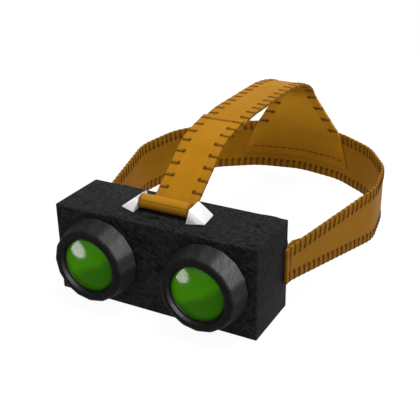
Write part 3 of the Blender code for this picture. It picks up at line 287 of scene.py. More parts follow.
def anodised():
    finish = Finish("anodised_alloy")
    y = finish.xyz()[1]
    lines = finish.noise(0.0012, 2.0, 0.5, finish.at(0.0, y * 9.0, 0.0))
    tint = finish.noise(0.012, 3.0)
    base = finish.mix(tint, (0.014, 0.014, 0.0145), (0.026, 0.026, 0.027))
    return finish.set(colour=base, roughness=0.42 + lines * 0.2, metallic=0.15, specular=0.1,
                      normal=finish.relief(lines, 0.25, 0.0003))


black_alloy = anodised()
for side in SIDES:
    paint(black_alloy, f"objective_barrel_{side}", f"objective_cell_{side}", f"eyepiece_barrel_{side}",
          f"eyepiece_cell_{side}")


# Each focus ring is a thick moulded rubber ring, drawn in towards the front, with sixteen flats
# for the fingers, a rounded crest and a lip that falls inwards to the lens.
RING_STEPS = 96
RING_BORE = 0.0198
RING_BACK = 0.0003
RING_BASE_RADIUS = 0.0251
RING_BASE_EDGE = 0.0006
RING_REACH = 0.01485
RING_SLOPE_REACH = RING_REACH * 0.82
RING_CREST_RADIUS = 0.02275
RING_CREST_WIDTH = 0.0034
RING_CREST_RISE = 0.0027
RING_CREST_START = 4
RING_CREST_TURN = 112
RING_CREST_STEPS = 12
RING_LIP_RADIUS = 0.0168
RING_LIP_BACK = 0.0107
RING_LIP_SIDE = 0.0114
RING_LIP_FRONT = 0.0119
RING_LIP_EDGE = 0.0008
RING_FLATS = 16
RING_FLATS_MARGIN = 0.001
RING_FLATS_CORNER = 0.9965
FORWARD, BACKWARD = -1, 1


def turned(section, steps, hollow=True):
    """A bmesh of a (radius, height) section turned about Z."""
    bm = bmesh.new()
    points = [bm.verts.new((radius, 0, height)) for radius, height in section]
    edges = [bm.edges.new(pair) for pair in zip(points, points[1:])]
    if hollow:
        edges.append(bm.edges.new((points[-1], points[0])))
    bmesh.ops.spin(bm, geom=points + edges, cent=(0, 0, 0), axis=(0, 0, 1), angle=math.tau,
                   steps=steps, use_merge=True)
    bmesh.ops.remove_doubles(bm, verts=bm.verts, dist=SAME_PLACE)
    bmesh.ops.recalc_face_normals(bm, faces=bm.faces)
    return bm


def on_lens_axis(bm, side, facing):
    """Turns a piece made about Z to point out of the front or the back face, on a lens's axis."""
    place = Matrix.Translation((SIDES[side] * LENS_X, facing * BOX_HALF_DEPTH, AXIS_Z))
    turn = Matrix.Rotation(-facing * math.pi / 2, 4, "X")
    bmesh.ops.transform(bm, matrix=place @ turn, verts=bm.verts)


def ring_rubber(side):
    """Satin rubber with fine streaks drawn across the ring, from its foot over the crest."""
    finish = Finish(f"ring_rubber_{side}")
    x, y, z = finish.xyz()
    dx = x - SIDES[side] * LENS_X
    dz = z - AXIS_Z
    angle = dz.math("ARCTAN2", dx)
    radius = (dx * dx + dz * dz).math("SQRT")
    slope = radius * 0.6 - y
    streaks = finish.noise(1.0, 4.0, 0.6, finish.at(angle * 11.0 + slope * 300.0, slope * 130.0, 0.0), 0.6)
    grain = finish.noise(0.0011, 3.0, 0.6)
    height = streaks * 0.8 + grain * 0.25
    base = finish.mix(streaks.rise(0.3, 0.75), (0.004, 0.004, 0.004), (0.0105, 0.0105, 0.0105))
    rough = 0.47 + grain * 0.08 + streaks * 0.2
    return finish.set(colour=base, roughness=rough, normal=finish.relief(height, 0.5, 0.0008), specular=0.05)


def ring_section():
    """The ring's wall from its foot over the crest to its lip, as (radius, height)."""
    section = [(RING_BORE, RING_BACK), (RING_BASE_RADIUS - RING_BASE_EDGE, RING_BACK),
               (RING_BASE_RADIUS, RING_BACK + RING_BASE_EDGE)]
    narrowing = RING_CREST_RADIUS - RING_BASE_RADIUS
    section += [(RING_BASE_RADIUS + narrowing * share, RING_BACK + RING_SLOPE_REACH * share)
                for share in (0.33, 0.66)]
    centre_radius, centre_height = RING_CREST_RADIUS - RING_CREST_WIDTH, RING_REACH - RING_CREST_RISE
    for step in range(RING_CREST_STEPS + 1):
        angle = math.radians(RING_CREST_START + RING_CREST_TURN * step / RING_CREST_STEPS)
        section.append((centre_radius + RING_CREST_WIDTH * math.cos(angle),
                        centre_height + RING_CREST_RISE * math.sin(angle)))
    section += [(RING_LIP_RADIUS + RING_LIP_EDGE, RING_LIP_FRONT), (RING_LIP_RADIUS, RING_LIP_SIDE),
                (RING_LIP_RADIUS, RING_LIP_BACK), (RING_BORE, RING_LIP_BACK)]
    return section


def press_flats(bm):
    """Presses the flats into the ring's outside. They fade out towards the lip."""
    facet = math.tau / RING_FLATS
    start, full = RING_LIP_RADIUS + RING_FLATS_MARGIN, RING_CREST_RADIUS - RING_FLATS_MARGIN
    for vert in bm.verts:
        radius = vert.co.xy.length
        outward = (radius - start) / (full - start)
        if outward > 0 and abs(radius - RING_BORE) > SAME_PLACE:
            turn = math.atan2(vert.co.y, vert.co.x) % facet - facet / 2
            flat = min(math.cos(facet / 2) / math.cos(turn), RING_FLATS_CORNER)
            vert.co.xy *= 1 - (1 - flat) * min(outward, 1.0)


for side in SIDES:
    bm = turned(ring_section(), RING_STEPS)
    press_flats(bm)
    on_lens_axis(bm, side, FORWARD)
    ring = piece(f"focus_ring_{side}_rubber", bm, ring_rubber(side), 50)
    replaced(ring, f"focus_ring_{side}", f"focus_{side}")


# The front lenses are thick domes of glass with a deep green coating, seated in their cells. The
# upper part of each dome is painted lighter as painted light, and its rim is painted dark all round
# as painted shade.
GLASS_RADIUS = 0.0164
GLASS_EDGE = 0.01135
GLASS_RISE = 0.0034
GLASS_FLANGE = 0.0035
GLASS_SEAT_RADIUS = 0.0152
GLASS_BACK = 0.0041
GLASS_RINGS = 16
GLASS_STEPS = 72


def lens_coating(side):
    finish = Finish(f"green_coating_{side}")
    x, _, z = finish.xyz()
    dx = (x - SIDES[side] * LENS_X) / GLASS_RADIUS
    dz = (z - AXIS_Z) / GLASS_RADIUS
    cloud = finish.noise(0.011, 2.0, 0.4)
    above = dz * 0.86 - dx * 0.5 + cloud * 0.3
    radius = (dx * dx + dz * dz).math("SQRT")
    # The upper side of the dome is painted lighter: painted light.
    base = finish.mix(above.rise(-0.10, 0.22), (0.029, 0.15, 0.0), (0.056, 0.27, 0.0))
    # The rim, under the ring's lip, is painted dark: painted shade.
    base = finish.mix(radius.rise(0.88, 1.02) * 0.75, base, (0.008, 0.038, 0.0))
    return finish.set(colour=base, roughness=0.3, coat=0.08, coat_roughness=0.12, specular=0.0)


for side in SIDES:
    sphere = (GLASS_RADIUS ** 2 + GLASS_RISE ** 2) / (2 * GLASS_RISE)
    reach = math.asin(GLASS_RADIUS / sphere)
    angles = [reach * i / GLASS_RINGS for i in range(GLASS_RINGS + 1)]
    section = [(sphere * math.sin(a), GLASS_EDGE + GLASS_RISE - sphere * (1 - math.cos(a))) for a in angles]
    section += [(GLASS_RADIUS, GLASS_EDGE - GLASS_FLANGE), (GLASS_SEAT_RADIUS, GLASS_EDGE - GLASS_FLANGE),
                (GLASS_SEAT_RADIUS, GLASS_BACK), (0, GLASS_BACK)]
    bm = turned(section, GLASS_STEPS, hollow=False)
    on_lens_axis(bm, side, FORWARD)
    lens = piece(f"objective_lens_{side}_glass", bm, lens_coating(side), 40)
    replaced(lens, f"objective_lens_{side}", f"objective_{side}")


# The plate let into the back, the shield's frame, the chassis that holds the tubes and the battery
# tray are moulded in black plastic with a fine spark grain.
PLATE_ROUND = 0.0003


def spark_grain():
    finish = Finish("black_plastic")
    grain = finish.noise(0.0006, 3.0, 0.6)
    smear = finish.noise(0.014, 4.0, 0.6)
    base = finish.mix(smear, (0.014, 0.014, 0.014), (0.027, 0.027, 0.027))
    return finish.set(colour=base, roughness=0.44 + smear * 0.16, normal=finish.relief(grain, 0.3, 0.0004),
                      specular=0.15)


black_plastic = spark_grain()
paint(black_plastic, "optical_chassis", "battery_tray")
for name in ("rear_cover", "shield_frame"):
    plate = piece(name + "_moulded", rounded(name, PLATE_ROUND), black_plastic, 40)
    replaced(plate, name, "housing")


# The battery door closes the doorway in the housing's left side. It is moulded in the same plastic,
# with five grip ribs and the cells' plus and minus marks raised on its outer face.
DOOR_X = -BOX_HALF_WIDTH
DOOR_MIDDLE_Z = 0.0222
DOOR_ROUND = 0.0002
DOOR_RELIEF = 0.00025
DOOR_RIBS = 5
DOOR_RIB_PITCH = 0.0014
DOOR_RIB_START = 0.0012
DOOR_RIB_HEIGHT = 0.017
DOOR_MARK_Y = -0.0062
DOOR_MARK_RISE = 0.0088
DOOR_MARK_LENGTH = 0.0034
DOOR_MARK_WIDTH = 0.0007
DOOR_BAR_EDGE = 0.0001


def raised_bar(bm, y, z, width, height):
    """A small bar moulded on the door's outer face."""
    size = Matrix.Diagonal((4 * DOOR_RELIEF, width, height, 1))
    place = Matrix.Translation((DOOR_X + DOOR_RELIEF, y, z)) @ size
    made = bmesh.ops.create_cube(bm, size=1.0, matrix=place)
    edges = {edge for vert in made["verts"] for edge in vert.link_edges}
    bmesh.ops.bevel(bm, geom=list(edges), offset=DOOR_BAR_EDGE, segments=2, profile=0.5, affect="EDGES",
                    material=-1)


def on_door_face(edge):
    return all(abs(vert.co.x - DOOR_X) < DOOR_RELIEF / 2 for vert in edge.verts)


bm = rounded("battery_door", DOOR_ROUND, on_door_face)
for rib in range(DOOR_RIBS):
    raised_bar(bm, DOOR_RIB_START + rib * DOOR_RIB_PITCH, DOOR_MIDDLE_Z, DOOR_RIB_PITCH / 2, DOOR_RIB_HEIGHT)
for mark in (1, -1):
    raised_bar(bm, DOOR_MARK_Y, DOOR_MIDDLE_Z + mark * DOOR_MARK_RISE, DOOR_MARK_LENGTH, DOOR_MARK_WIDTH)
half_height = (DOOR_MARK_LENGTH - DOOR_MARK_WIDTH) / 2
half_rise = (DOOR_MARK_LENGTH + DOOR_MARK_WIDTH) / 4
for half in (1, -1):
    half_z = DOOR_MIDDLE_Z + DOOR_MARK_RISE + half * half_rise
    raised_bar(bm, DOOR_MARK_Y, half_z, DOOR_MARK_WIDTH, half_height)
door = piece("battery_door_moulded", bm, black_plastic, 40)
replaced(door, "battery_door", "door")


# The power knob is a round button of the same plastic above the door, with 24 ribs round its rim.
# A groove cut from its middle to the rim is filled with white paint and shows how it is set.
# KNOB_CORNER and KNOB_BACK_EDGE say how far in from the side, and from the end, their points are.
KNOB_Y = 0.00165
KNOB_Z = 0.046
KNOB_RADIUS = 0.006
KNOB_REACH = 0.005
KNOB_CORNER = ((0.0014, 0.0), (0.0009, 0.00015), (0.0004, 0.0006), (0.0, 0.0013))
KNOB_BACK = 0.0003
KNOB_BACK_EDGE = (0.0003, 0.0005)
KNOB_SHAFT_RADIUS = 0.002
KNOB_SHAFT_LENGTH = 0.003
KNOB_RIBS = 24
KNOB_RIB_DEPTH = 0.0003
COLUMNS_PER_RIB = 4
MARK_WIDTH = 0.0010
MARK_DEPTH = 0.0006
MARK_MARGIN = 0.0002
PAINT_MARGIN = 0.00002
PAINT_TOP = 0.00035
PAINT_FOOT = 0.0010


def settled(made):
    """Applies a piece's modifiers."""
    graph = bpy.context.evaluated_depsgraph_get()
    mesh = bpy.data.meshes.new_from_object(made.evaluated_get(graph), preserve_all_data_layers=True,
                                           depsgraph=graph)
    made.modifiers.clear()
    made.data = mesh


def grooved(made, boxes):
    """Cuts square grooves, each given by its middle and its size, into a piece."""
    bm = bmesh.new()
    for middle, size in boxes:
        bmesh.ops.create_cube(bm, size=1.0, matrix=Matrix.Translation(middle) @ Matrix.Diagonal((*size, 1)))
    cutter = piece(made.name + "_cutter", bm, made.data.materials[0])
    cut = made.modifiers.new("grooves", "BOOLEAN")
    cut.object = cutter
    cut.solver = "EXACT"
    cut.use_self = True
    settled(made)
    bpy.data.objects.remove(cutter)


def ribbed(bm, ribs, radius, depth, low, high):
    """Presses the gaps between ribs into the side of a turned piece, from one height to another."""
    for vert in bm.verts:
        column = round(math.atan2(vert.co.y, vert.co.x) / math.tau * ribs * COLUMNS_PER_RIB)
        outside = vert.co.xy.length > radius - SAME_PLACE
        between = low - SAME_PLACE < vert.co.z < high + SAME_PLACE
        if outside and between and column % COLUMNS_PER_RIB in (0, 1):
            vert.co.xy *= 1 - depth / radius


def knob_plastic():
    finish = Finish("knob_plastic")
    x, y, z = finish.xyz()
    grain = finish.noise(0.0006, 3.0, 0.6)
    inward = x + (BOX_HALF_WIDTH + KNOB_REACH)
    groove = (abs(y - KNOB_Y) < MARK_WIDTH / 2 + PAINT_MARGIN) * (z > KNOB_Z)
    painted = groove * (inward > PAINT_TOP) * (inward < PAINT_FOOT)
    base = finish.mix(painted, (0.019, 0.019, 0.0195), (0.75, 0.75, 0.72))
    return finish.set(colour=base, roughness=0.42 + grain * 0.1, normal=finish.relief(grain, 0.25, 0.0004),
                      specular=0.15)


section = [(0, KNOB_REACH)]
section += [(KNOB_RADIUS - inset, KNOB_REACH - drop) for inset, drop in KNOB_CORNER]
section += [(KNOB_RADIUS, KNOB_BACK + KNOB_BACK_EDGE[1]), (KNOB_RADIUS - KNOB_BACK_EDGE[0], KNOB_BACK),
            (KNOB_SHAFT_RADIUS, KNOB_BACK), (KNOB_SHAFT_RADIUS, -KNOB_SHAFT_LENGTH), (0, -KNOB_SHAFT_LENGTH)]
bm = turned(section, KNOB_RIBS * COLUMNS_PER_RIB, hollow=False)
ribbed(bm, KNOB_RIBS, KNOB_RADIUS, KNOB_RIB_DEPTH, 0, KNOB_REACH)
place = Matrix.Translation((-BOX_HALF_WIDTH, KNOB_Y, KNOB_Z)) @ Matrix.Rotation(-math.pi / 2, 4, "Y")
bmesh.ops.transform(bm, matrix=place, verts=bm.verts)
knob = piece("power_knob_ribbed", bm, knob_plastic(), 30)
mark_middle = (-BOX_HALF_WIDTH - KNOB_REACH, KNOB_Y, KNOB_Z + (KNOB_RADIUS + MARK_MARGIN) / 2)
grooved(knob, [(mark_middle, (2 * MARK_DEPTH, MARK_WIDTH, KNOB_RADIUS + MARK_MARGIN))])
replaced(knob, "power_knob", "knob")


# Screws, studs, springs, pins and the strap bar are nickel plated steel. The cover screws' heads
# have a cross slot, which is painted dark inside as shade.
SCREW_X = 0.046
SCREW_RISE = 0.0228
SCREW_ROUND = 0.0001
SLOT_LENGTH = 0.0025
SLOT_WIDTH = 0.00056
SLOT_DEPTH = 0.0006
SLOT_START_Y = 0.0195


def nickel():
    finish = Finish("nickel_plate")
    x, y, z = finish.xyz()
    scratch = finish.noise(0.0005, 2.0, 0.5, finish.at(x * 0.3, y, z))
    across = abs(abs(x) - SCREW_X)
    up = abs(abs(z - AXIS_Z) - SCREW_RISE)
    # Inside the cross slot the plate is painted dark and less metallic: painted shade.
    cross = (across.least(up) < SLOT_WIDTH / 2) * (across.most(up) < SLOT_LENGTH / 2) * (y > SLOT_START_Y)
    base = finish.mix(scratch, (0.46, 0.45, 0.43), (0.66, 0.65, 0.62))
    base = finish.mix(cross, base, (0.01, 0.01, 0.01))
    return finish.set(colour=base, roughness=0.22 + scratch * 0.2, metallic=1.0 - cross * 0.9,
                      normal=finish.relief(scratch, 0.12, 0.0003))


bright_metal = nickel()
paint(bright_metal, "strap_bar", "battery_door_pin", "battery_contact", "battery_spring_front",
      "battery_spring_rear")
for side in SIDES:
    paint(bright_metal, f"pivot_stud_{side}", f"bracket_screw_{side}")
for level, rise in {"upper": 1, "lower": -1}.items():
    for side, sign in SIDES.items():
        name = f"cover_screw_{level}_{side}"
        bm = rounded(name, SCREW_ROUND)
        head_y = max(vert.co.y for vert in bm.verts)
        screw = piece(name + "_slotted", bm, bright_metal, 40)
        middle = (sign * SCREW_X, head_y, AXIS_Z + rise * SCREW_RISE)
        grooved(screw, [(middle, (SLOT_LENGTH, 2 * SLOT_DEPTH, SLOT_WIDTH)),
                        (middle, (SLOT_WIDTH, 2 * SLOT_DEPTH, SLOT_LENGTH))])
        replaced(screw, name, "housing")


# Inside are the seal, the two image tubes, the power board with its cast converter, the rotary
# switch and two small cells in grey sleeves.
def plain_inside(name, colour, roughness, metallic=0.0):
    finish = Finish(name)
    mottle = finish.noise(0.003, 3.0, 0.6)
    darker = tuple(c * 0.75 for c in colour)
    return finish.set(colour=finish.mix(mottle, darker, colour), roughness=roughness + mottle * 0.08,
                      metallic=metallic, normal=finish.relief(mottle, 0.15, 0.0004))


paint(plain_inside("seal_rubber", (0.012, 0.012, 0.012), 0.75), "cover_gasket")
paint(plain_inside("tube_resin", (0.035, 0.035, 0.038), 0.3), "intensifier_tube_left",
      "intensifier_tube_right", "voltage_converter")
paint(plain_inside("board_mask", (0.02, 0.12, 0.045), 0.35), "power_board", "power_switch")
paint(plain_inside("cell_sleeve", (0.4, 0.41, 0.43), 0.28, 0.5), "battery_front", "battery_rear")


# Behind the plate each eyepiece has a knurled rubber ring to set it to the eye, round a clear
# glass lens with a faint green reflection painted into its colour.
DIOPTER_RADIUS = 0.0153
DIOPTER_BORE = 0.0129
DIOPTER_BACK = 0.0003
DIOPTER_END = 0.0071
DIOPTER_EDGE = 0.0008
DIOPTER_BORE_EDGE = 0.0005
KNURLS = 48
KNURL_DEPTH = 0.0006
KNURL_START = 0.0016
KNURL_END = DIOPTER_END - 0.0014
KNURL_RUNOUT = 0.0006


def knurled_rubber():
    finish = Finish("knurled_rubber")
    grain = finish.noise(0.0007, 3.0, 0.6)
    smear = finish.noise(0.009, 3.0, 0.6)
    base = finish.mix(smear, (0.013, 0.013, 0.0135), (0.028, 0.028, 0.0285))
    return finish.set(colour=base, roughness=0.5 + grain * 0.15, normal=finish.relief(grain, 0.3, 0.0004),
                      specular=0.15)


def clear_glass():
    finish = Finish("eye_glass")
    tint = finish.noise(0.01, 2.0, 0.4)
    # The green of the glass is a painted reflection.
    base = finish.mix(tint, (0.006, 0.02, 0.012), (0.012, 0.05, 0.022))
    return finish.set(colour=base, roughness=0.16 + tint * 0.05, coat=0.15, coat_roughness=0.08,
                      specular=0.15)


eye_rubber = knurled_rubber()
eye_glass = clear_glass()
for side in SIDES:
    paint(eye_glass, f"eyepiece_lens_{side}")
    rim = DIOPTER_RADIUS - DIOPTER_EDGE
    section = [(DIOPTER_BORE, DIOPTER_BACK), (rim, DIOPTER_BACK)]
    section += [(DIOPTER_RADIUS, height) for height in (KNURL_START - KNURL_RUNOUT, KNURL_START,
                                                        KNURL_END, KNURL_END + KNURL_RUNOUT)]
    section += [(rim, DIOPTER_END), (DIOPTER_BORE + DIOPTER_BORE_EDGE, DIOPTER_END),
                (DIOPTER_BORE, DIOPTER_END - DIOPTER_BORE_EDGE)]
    bm = turned(section, KNURLS * COLUMNS_PER_RIB)
    ribbed(bm, KNURLS, DIOPTER_RADIUS, KNURL_DEPTH, KNURL_START, KNURL_END)
    on_lens_axis(bm, side, BACKWARD)
    grip = piece(f"diopter_ring_{side}_knurled", bm, eye_rubber, 30)
    replaced(grip, f"diopter_ring_{side}", f"diopter_{side}")


# Two glossy white wedges are screwed to the top from inside, and hold the ends of the strap bar.
# They are a little grimy where they meet the black paint.
BRACKET_ROUND = 0.00025
GRIME_RISE = 0.0016


def white_gloss():
    finish = Finish("white_gloss")
    z = finish.xyz()[2]
    smudge = finish.noise(0.005, 4.0, 0.6)
    foot = z.rise(BOX_HEIGHT + GRIME_RISE, BOX_HEIGHT) * smudge.rise(0.3, 0.7)
    base = finish.mix(smudge, (0.9, 0.9, 0.9), (0.96, 0.96, 0.96))
    base = finish.mix(foot * 0.5, base, (0.42, 0.41, 0.4))
    return finish.set(colour=base, roughness=0.2 + smudge * 0.1, coat=0.8, coat_roughness=0.08,
                      normal=finish.relief(smudge, 0.05, 0.0005))


white = white_gloss()
for side in SIDES:
    name = f"strap_bracket_{side}"
    bracket = piece(name + "_rounded", rounded(name, BRACKET_ROUND), white, 40)
    replaced(bracket, name, "housing")


# The harness is cut from tan hide 1.8 mm thick. Its edges are burnished dark and bound all along
# with a blanket stitch in waxed brown thread, in holes 6 to 6.5 mm in from the edge.
HIDE = 0.0018
HIDE_ROUND = 0.0005
THREAD = 0.00028
THREAD_LIFT = 0.00012
THREAD_HOLE = 0.0003
STITCH_HOOK = 0.0015
STITCH_BEND = 0.0003
STITCH_CORNER = 0.0004
STITCH_RIM = 0.0005
EDGE_INSET = 0.0001
EDGE_DROP = 0.0002
EDGE_PROUD = 0.00005


def hide(name, pitch, border, tone=1.0, painted_light_run=None):
    """Oiled hide: fine grain, broad colour, rubbed edges, and a dent with a hole at each stitch, the dent
    and the hole painted dark as shade, and crease lines painted darker as shade.
    border is how far in the holes are. The last argument gives the run along the strap that is painted
    lighter, as painted light."""
    finish = Finish(name)
    along = finish.node("Attribute", {"attribute_name": "along"}, output="Fac")
    edge = finish.node("Attribute", {"attribute_name": "edge"}, output="Fac")
    broad = finish.noise(0.022, 4.0, 0.6)
    cloud = finish.noise(0.006, 3.0, 0.6)
    grain = finish.cells(0.0008, "SMOOTH_F1")
    pores = finish.noise(0.0005, 2.0, 0.6)
    crease = finish.noise(0.004, 4.0, 0.7, None, 1.2)
    creases = abs(crease - 0.5).rise(0.03, 0.0)
    within = (edge + cloud * 0.0012 - 0.0006).rise(border + 0.0005, border - 0.0007)
    beyond = (along / pitch).fraction() * pitch - pitch / 2
    dent = within * (abs(beyond) + cloud * 0.0014 - 0.0007).rise(0.0019, 0.0003)
    hole_and_shade = abs(beyond - 0.0006).rise(0.0016, 0.0006) * abs(edge - border + 0.0007).rise(0.0014, 0.0005)
    rub = (edge + broad * 0.0006).rise(0.0012, 0.0003)
    light = (0.50 * tone, 0.216 * tone, 0.0080 * tone)
    deep = (0.345 * tone, 0.148 * tone, 0.0055 * tone)
    patch = finish.noise(0.035, 3.0, 0.55)
    base = finish.mix(broad * 0.5 + cloud * 0.3 + patch.rise(0.3, 0.7) * 0.25, deep, light)
    # A run along the strap is painted lighter: painted light.
    if painted_light_run:
        start, end = painted_light_run
        painted_light_mask = along.rise(start, start + 0.010) * along.rise(end, start + 0.012)
        base = finish.mix(painted_light_mask * 0.8, base, (0.82, 0.40, 0.021))
    base = finish.mix(within * 0.16, base, (0.25 * tone, 0.095 * tone, 0.005 * tone))
    # The stitch dents, the holes and the creases are painted darker: painted shade.
    base = finish.mix(dent * 0.6, base, (0.11, 0.044, 0.003))
    base = finish.mix(hole_and_shade * 0.75, base, (0.05, 0.02, 0.002))
    base = finish.mix(creases * 0.12, base, (0.2, 0.08, 0.005))
    base = finish.mix(rub * 0.14, base, (0.16, 0.062, 0.005))
    height = grain * 0.35 + pores * 0.2 + broad * 0.3 - creases * 0.25 - dent * 0.5 - hole_and_shade * 0.7
    rough = 0.46 + cloud * 0.14 + grain * 0.08
    return finish.set(colour=base, roughness=rough, normal=finish.relief(height, 0.42, 0.0006), specular=0.05)


def softened(points, reach, steps=8):
    """Rounds the corners of a run of points, each of any number of values."""
    path = [Vector(points[0])]
    for before, corner, after in zip(points, points[1:], points[2:]):
        corner = Vector(corner)
        back, on = Vector(before) - corner, Vector(after) - corner
        start = corner + back * min(reach / back.length, 0.45)
        end = corner + on * min(reach / on.length, 0.45)
        for step in range(steps + 1):
            t = step / steps
            path.append(start * (1 - t) ** 2 + corner * (2 * t * (1 - t)) + end * t ** 2)
    return path + [Vector(points[-1])]


def paced(path, pace):
    """Points at most a pace apart along a path, each with its distance along it."""
    made, run = [], 0.0
    for near, far in zip(path, path[1:]):
        step = far - near
        length = Vector(step[:2]).length
        count = max(1, math.ceil(length / pace))
        made += [(near + step * (i / count), run + length * i / count) for i in range(count)]
        run += length
    return made + [(path[-1], run)]


def strap(name, rows, material, skived=None):
    """Lays a grid over rows of (place, distance along, distance from the edge) and gives it the
    hide's thickness, inwards, with rounded edges. skived says how full that thickness is."""
    bm = bmesh.new()
    columns = len(rows[0]) - 1
    bmesh.ops.create_grid(bm, x_segments=columns, y_segments=len(rows) - 1, size=0.5)
    along = bm.verts.layers.float.new("along")
    edge = bm.verts.layers.float.new("edge")
    for vert in bm.verts:
        column = round((vert.co.x + 0.5) * columns)
        row = round((vert.co.y + 0.5) * (len(rows) - 1))
        vert.co, vert[along], vert[edge] = rows[row][column]
    made = piece(name, bm, material, 50)
    wall = made.modifiers.new("thickness", "SOLIDIFY")
    if skived:
        full = made.vertex_groups.new(name="full")
        for vert in made.data.vertices:
            row, column = divmod(vert.index, columns + 1)
            full.add([vert.index], skived(rows[row][column]), "REPLACE")
        wall.vertex_group = "full"
    wall.thickness = HIDE
    wall.offset = -1
    wall.use_even_offset = True
    rounding = made.modifiers.new("rounding", "BEVEL")
    rounding.width = HIDE_ROUND
    rounding.segments = 3
    rounding.limit_method = "ANGLE"
    rounding.angle_limit = SHARP_CORNER
    settled(made)
    return made


def spot(rows, run, side, inset, lift):
    """A point over a strap's outer face, so far along it and in from one edge."""
    j = next((k for k in range(1, len(rows)) if rows[k][0][1] >= run), len(rows) - 1)
    near, far = rows[j - 1], rows[j]
    share = (run - near[0][1]) / (far[0][1] - near[0][1])
    line = [a[0].lerp(b[0], share) for a, b in zip(near, far)]
    onward = far[len(far) // 2][0] - near[len(near) // 2][0]
    if side > 0:
        line.reverse()
    left = inset
    for a, b in zip(line, line[1:]):
        step = (b - a).length
        if left <= step:
            break
        left -= step
    inward = (b - a).normalized()
    up = inward.cross(onward).normalized() * -side
    return a + inward * left + up * lift


def blanket_stitch(rows, side, start, stop, pitch, depth, outer=None, inner=None):
    """Paths of thread for one edge: a loop over the edge at each pitch, hooked along the strap at
    its inner end. outer and inner say where each face is free to carry thread."""
    paths = []
    first, last = math.ceil(start / pitch - 0.5), math.floor(stop / pitch - 0.5)
    for k in range(first, last + 1):
        run = (k + 0.5) * pitch
        hook = min(run + STITCH_HOOK, stop)
        across = [(hook, depth, -THREAD_HOLE), (hook - STITCH_BEND, depth, THREAD_LIFT),
                  (run + STITCH_BEND, depth, THREAD_LIFT), (run, depth - STITCH_CORNER, THREAD_LIFT),
                  (run, depth / 2, THREAD_LIFT * 1.3), (run, STITCH_RIM, THREAD_LIFT)]
        path = [(run, EDGE_INSET, -EDGE_DROP), (run, -EDGE_PROUD, -HIDE / 2),
                (run, EDGE_INSET, EDGE_DROP - HIDE)]
        if outer is None or outer(run):
            path = across + path
        if inner is None or inner(run):
            path += [(at, inset, -HIDE - height) for at, inset, height in reversed(across)]
        paths.append([spot(rows, at, side, inset, height) for at, inset, height in path])
    return paths


def dash(start, length, turn, sunk, lift):
    """One straight stitch, as places along the seam with their heights over the hide."""
    return [(start, sunk), (start + turn, lift), (start + length - turn, lift), (start + length, sunk)]


def waxed_thread():
    finish = Finish("waxed_thread")
    twist = finish.noise(0.0006, 2.0, 0.5)
    base = finish.mix(twist, (0.095, 0.039, 0.003), (0.19, 0.078, 0.006))
    return finish.set(colour=base, roughness=0.5 + twist * 0.1, normal=finish.relief(twist, 0.4, 0.0003),
                      specular=0.1)


brown_thread = waxed_thread()


def threads(name, paths):
    """One mesh of sewing thread, a round cord along each path."""
    curve = bpy.data.curves.new(name, "CURVE")
    curve.dimensions = "3D"
    curve.bevel_depth = THREAD
    curve.bevel_resolution = 1
    curve.use_fill_caps = True
    for path in paths:
        spline = curve.splines.new("POLY")
        spline.points.add(len(path) - 1)
        for point, place in zip(spline.points, path):
            point.co = (*place, 1)
    drawn = bpy.data.objects.new(name + "_line", curve)
    bpy.context.scene.collection.objects.link(drawn)
    graph = bpy.context.evaluated_depsgraph_get()
    mesh = bpy.data.meshes.new_from_object(drawn.evaluated_get(graph), depsgraph=graph)
    bpy.data.objects.remove(drawn)
    mesh.name = name
    mesh.materials.clear()
    mesh.materials.append(brown_thread)
    mesh.shade_smooth()
    made = bpy.data.objects.new(name, mesh)
    bpy.context.scene.collection.objects.link(made)
    return made


# The head band is one long strap round the back of the head. It is narrow where it lies beside
# the housing and widens to 37 mm over the ears.
FRONT_Y = -BOX_HALF_DEPTH
FIT = 0.0003
BAND_REACH = 0.2232
BAND_HALF_WIDTH = 0.0884
BAND_TOP = 0.0445
BAND_BOTTOM = 0.0073
BAND_CORNERS = ((1.0, 0.582), (0.937, 0.745), (0.716, 0.880), (0.385, 0.969), (0.0, 1.0))
BAND_FRONT_Y = FRONT_Y + 0.0358
BAND_FLAT = 0.0052
BAND_FRONT_HALF = 0.0111
BAND_SOFTENING = 0.009
BAND_COLUMNS = 8
BAND_PACE = 0.004
BAND_PITCH = 0.0050
BAND_STITCH = 0.0065
BAND_UNSEWN = 0.003
BAND_COVERED = 0.046
BAND_EDGE_MARGIN = 0.0002
YOKE_COVERED = 0.037


def band_path():
    """The band's outer face from above, left end to right end, with its lower and upper edge."""
    flat_x = BOX_HALF_WIDTH + FIT + HIDE
    low, high = AXIS_Z - BAND_FRONT_HALF, AXIS_Z + BAND_FRONT_HALF
    right = [(flat_x, BAND_FRONT_Y, low, high), (flat_x, BAND_FRONT_Y + BAND_FLAT, low, high)]
    right += [(x * BAND_HALF_WIDTH, FRONT_Y + y * BAND_REACH, BAND_BOTTOM, BAND_TOP) for x, y in BAND_CORNERS]
    left = [(-x, y, bottom, top) for x, y, bottom, top in right[:-1]]
    return softened(left + right[::-1], BAND_SOFTENING)


def band_rows():
    rows = []
    path = paced(band_path(), BAND_PACE)
    length = path[-1][1]
    for place, run in path:
        x, y, low, high = place
        to_end = min(run, length - run) + BAND_EDGE_MARGIN
        row = []
        for column in range(BAND_COLUMNS + 1):
            z = low + (high - low) * column / BAND_COLUMNS
            row.append((Vector((x, y, z)), run, min(z - low, high - z, to_end)))
        rows.append(row)
    return rows


band = band_rows()
band_length = band[-1][0][1]
# The band's hide is given a darker tone than the crown strap's: painted shade.
band_hide = strap("head_band_leather", band, hide("band_leather", BAND_PITCH, BAND_STITCH, 0.92))
replaced(band_hide, "head_band", "harness")


def band_free(run):
    """True where nothing lies inside the band, so that thread shows on its inner face."""
    return BAND_COVERED < run < band_length - BAND_COVERED


def band_free_top(run):
    """The same along its top edge, where the yoke goes down inside it."""
    return band_free(run) and abs(run - band_length / 2) > YOKE_COVERED


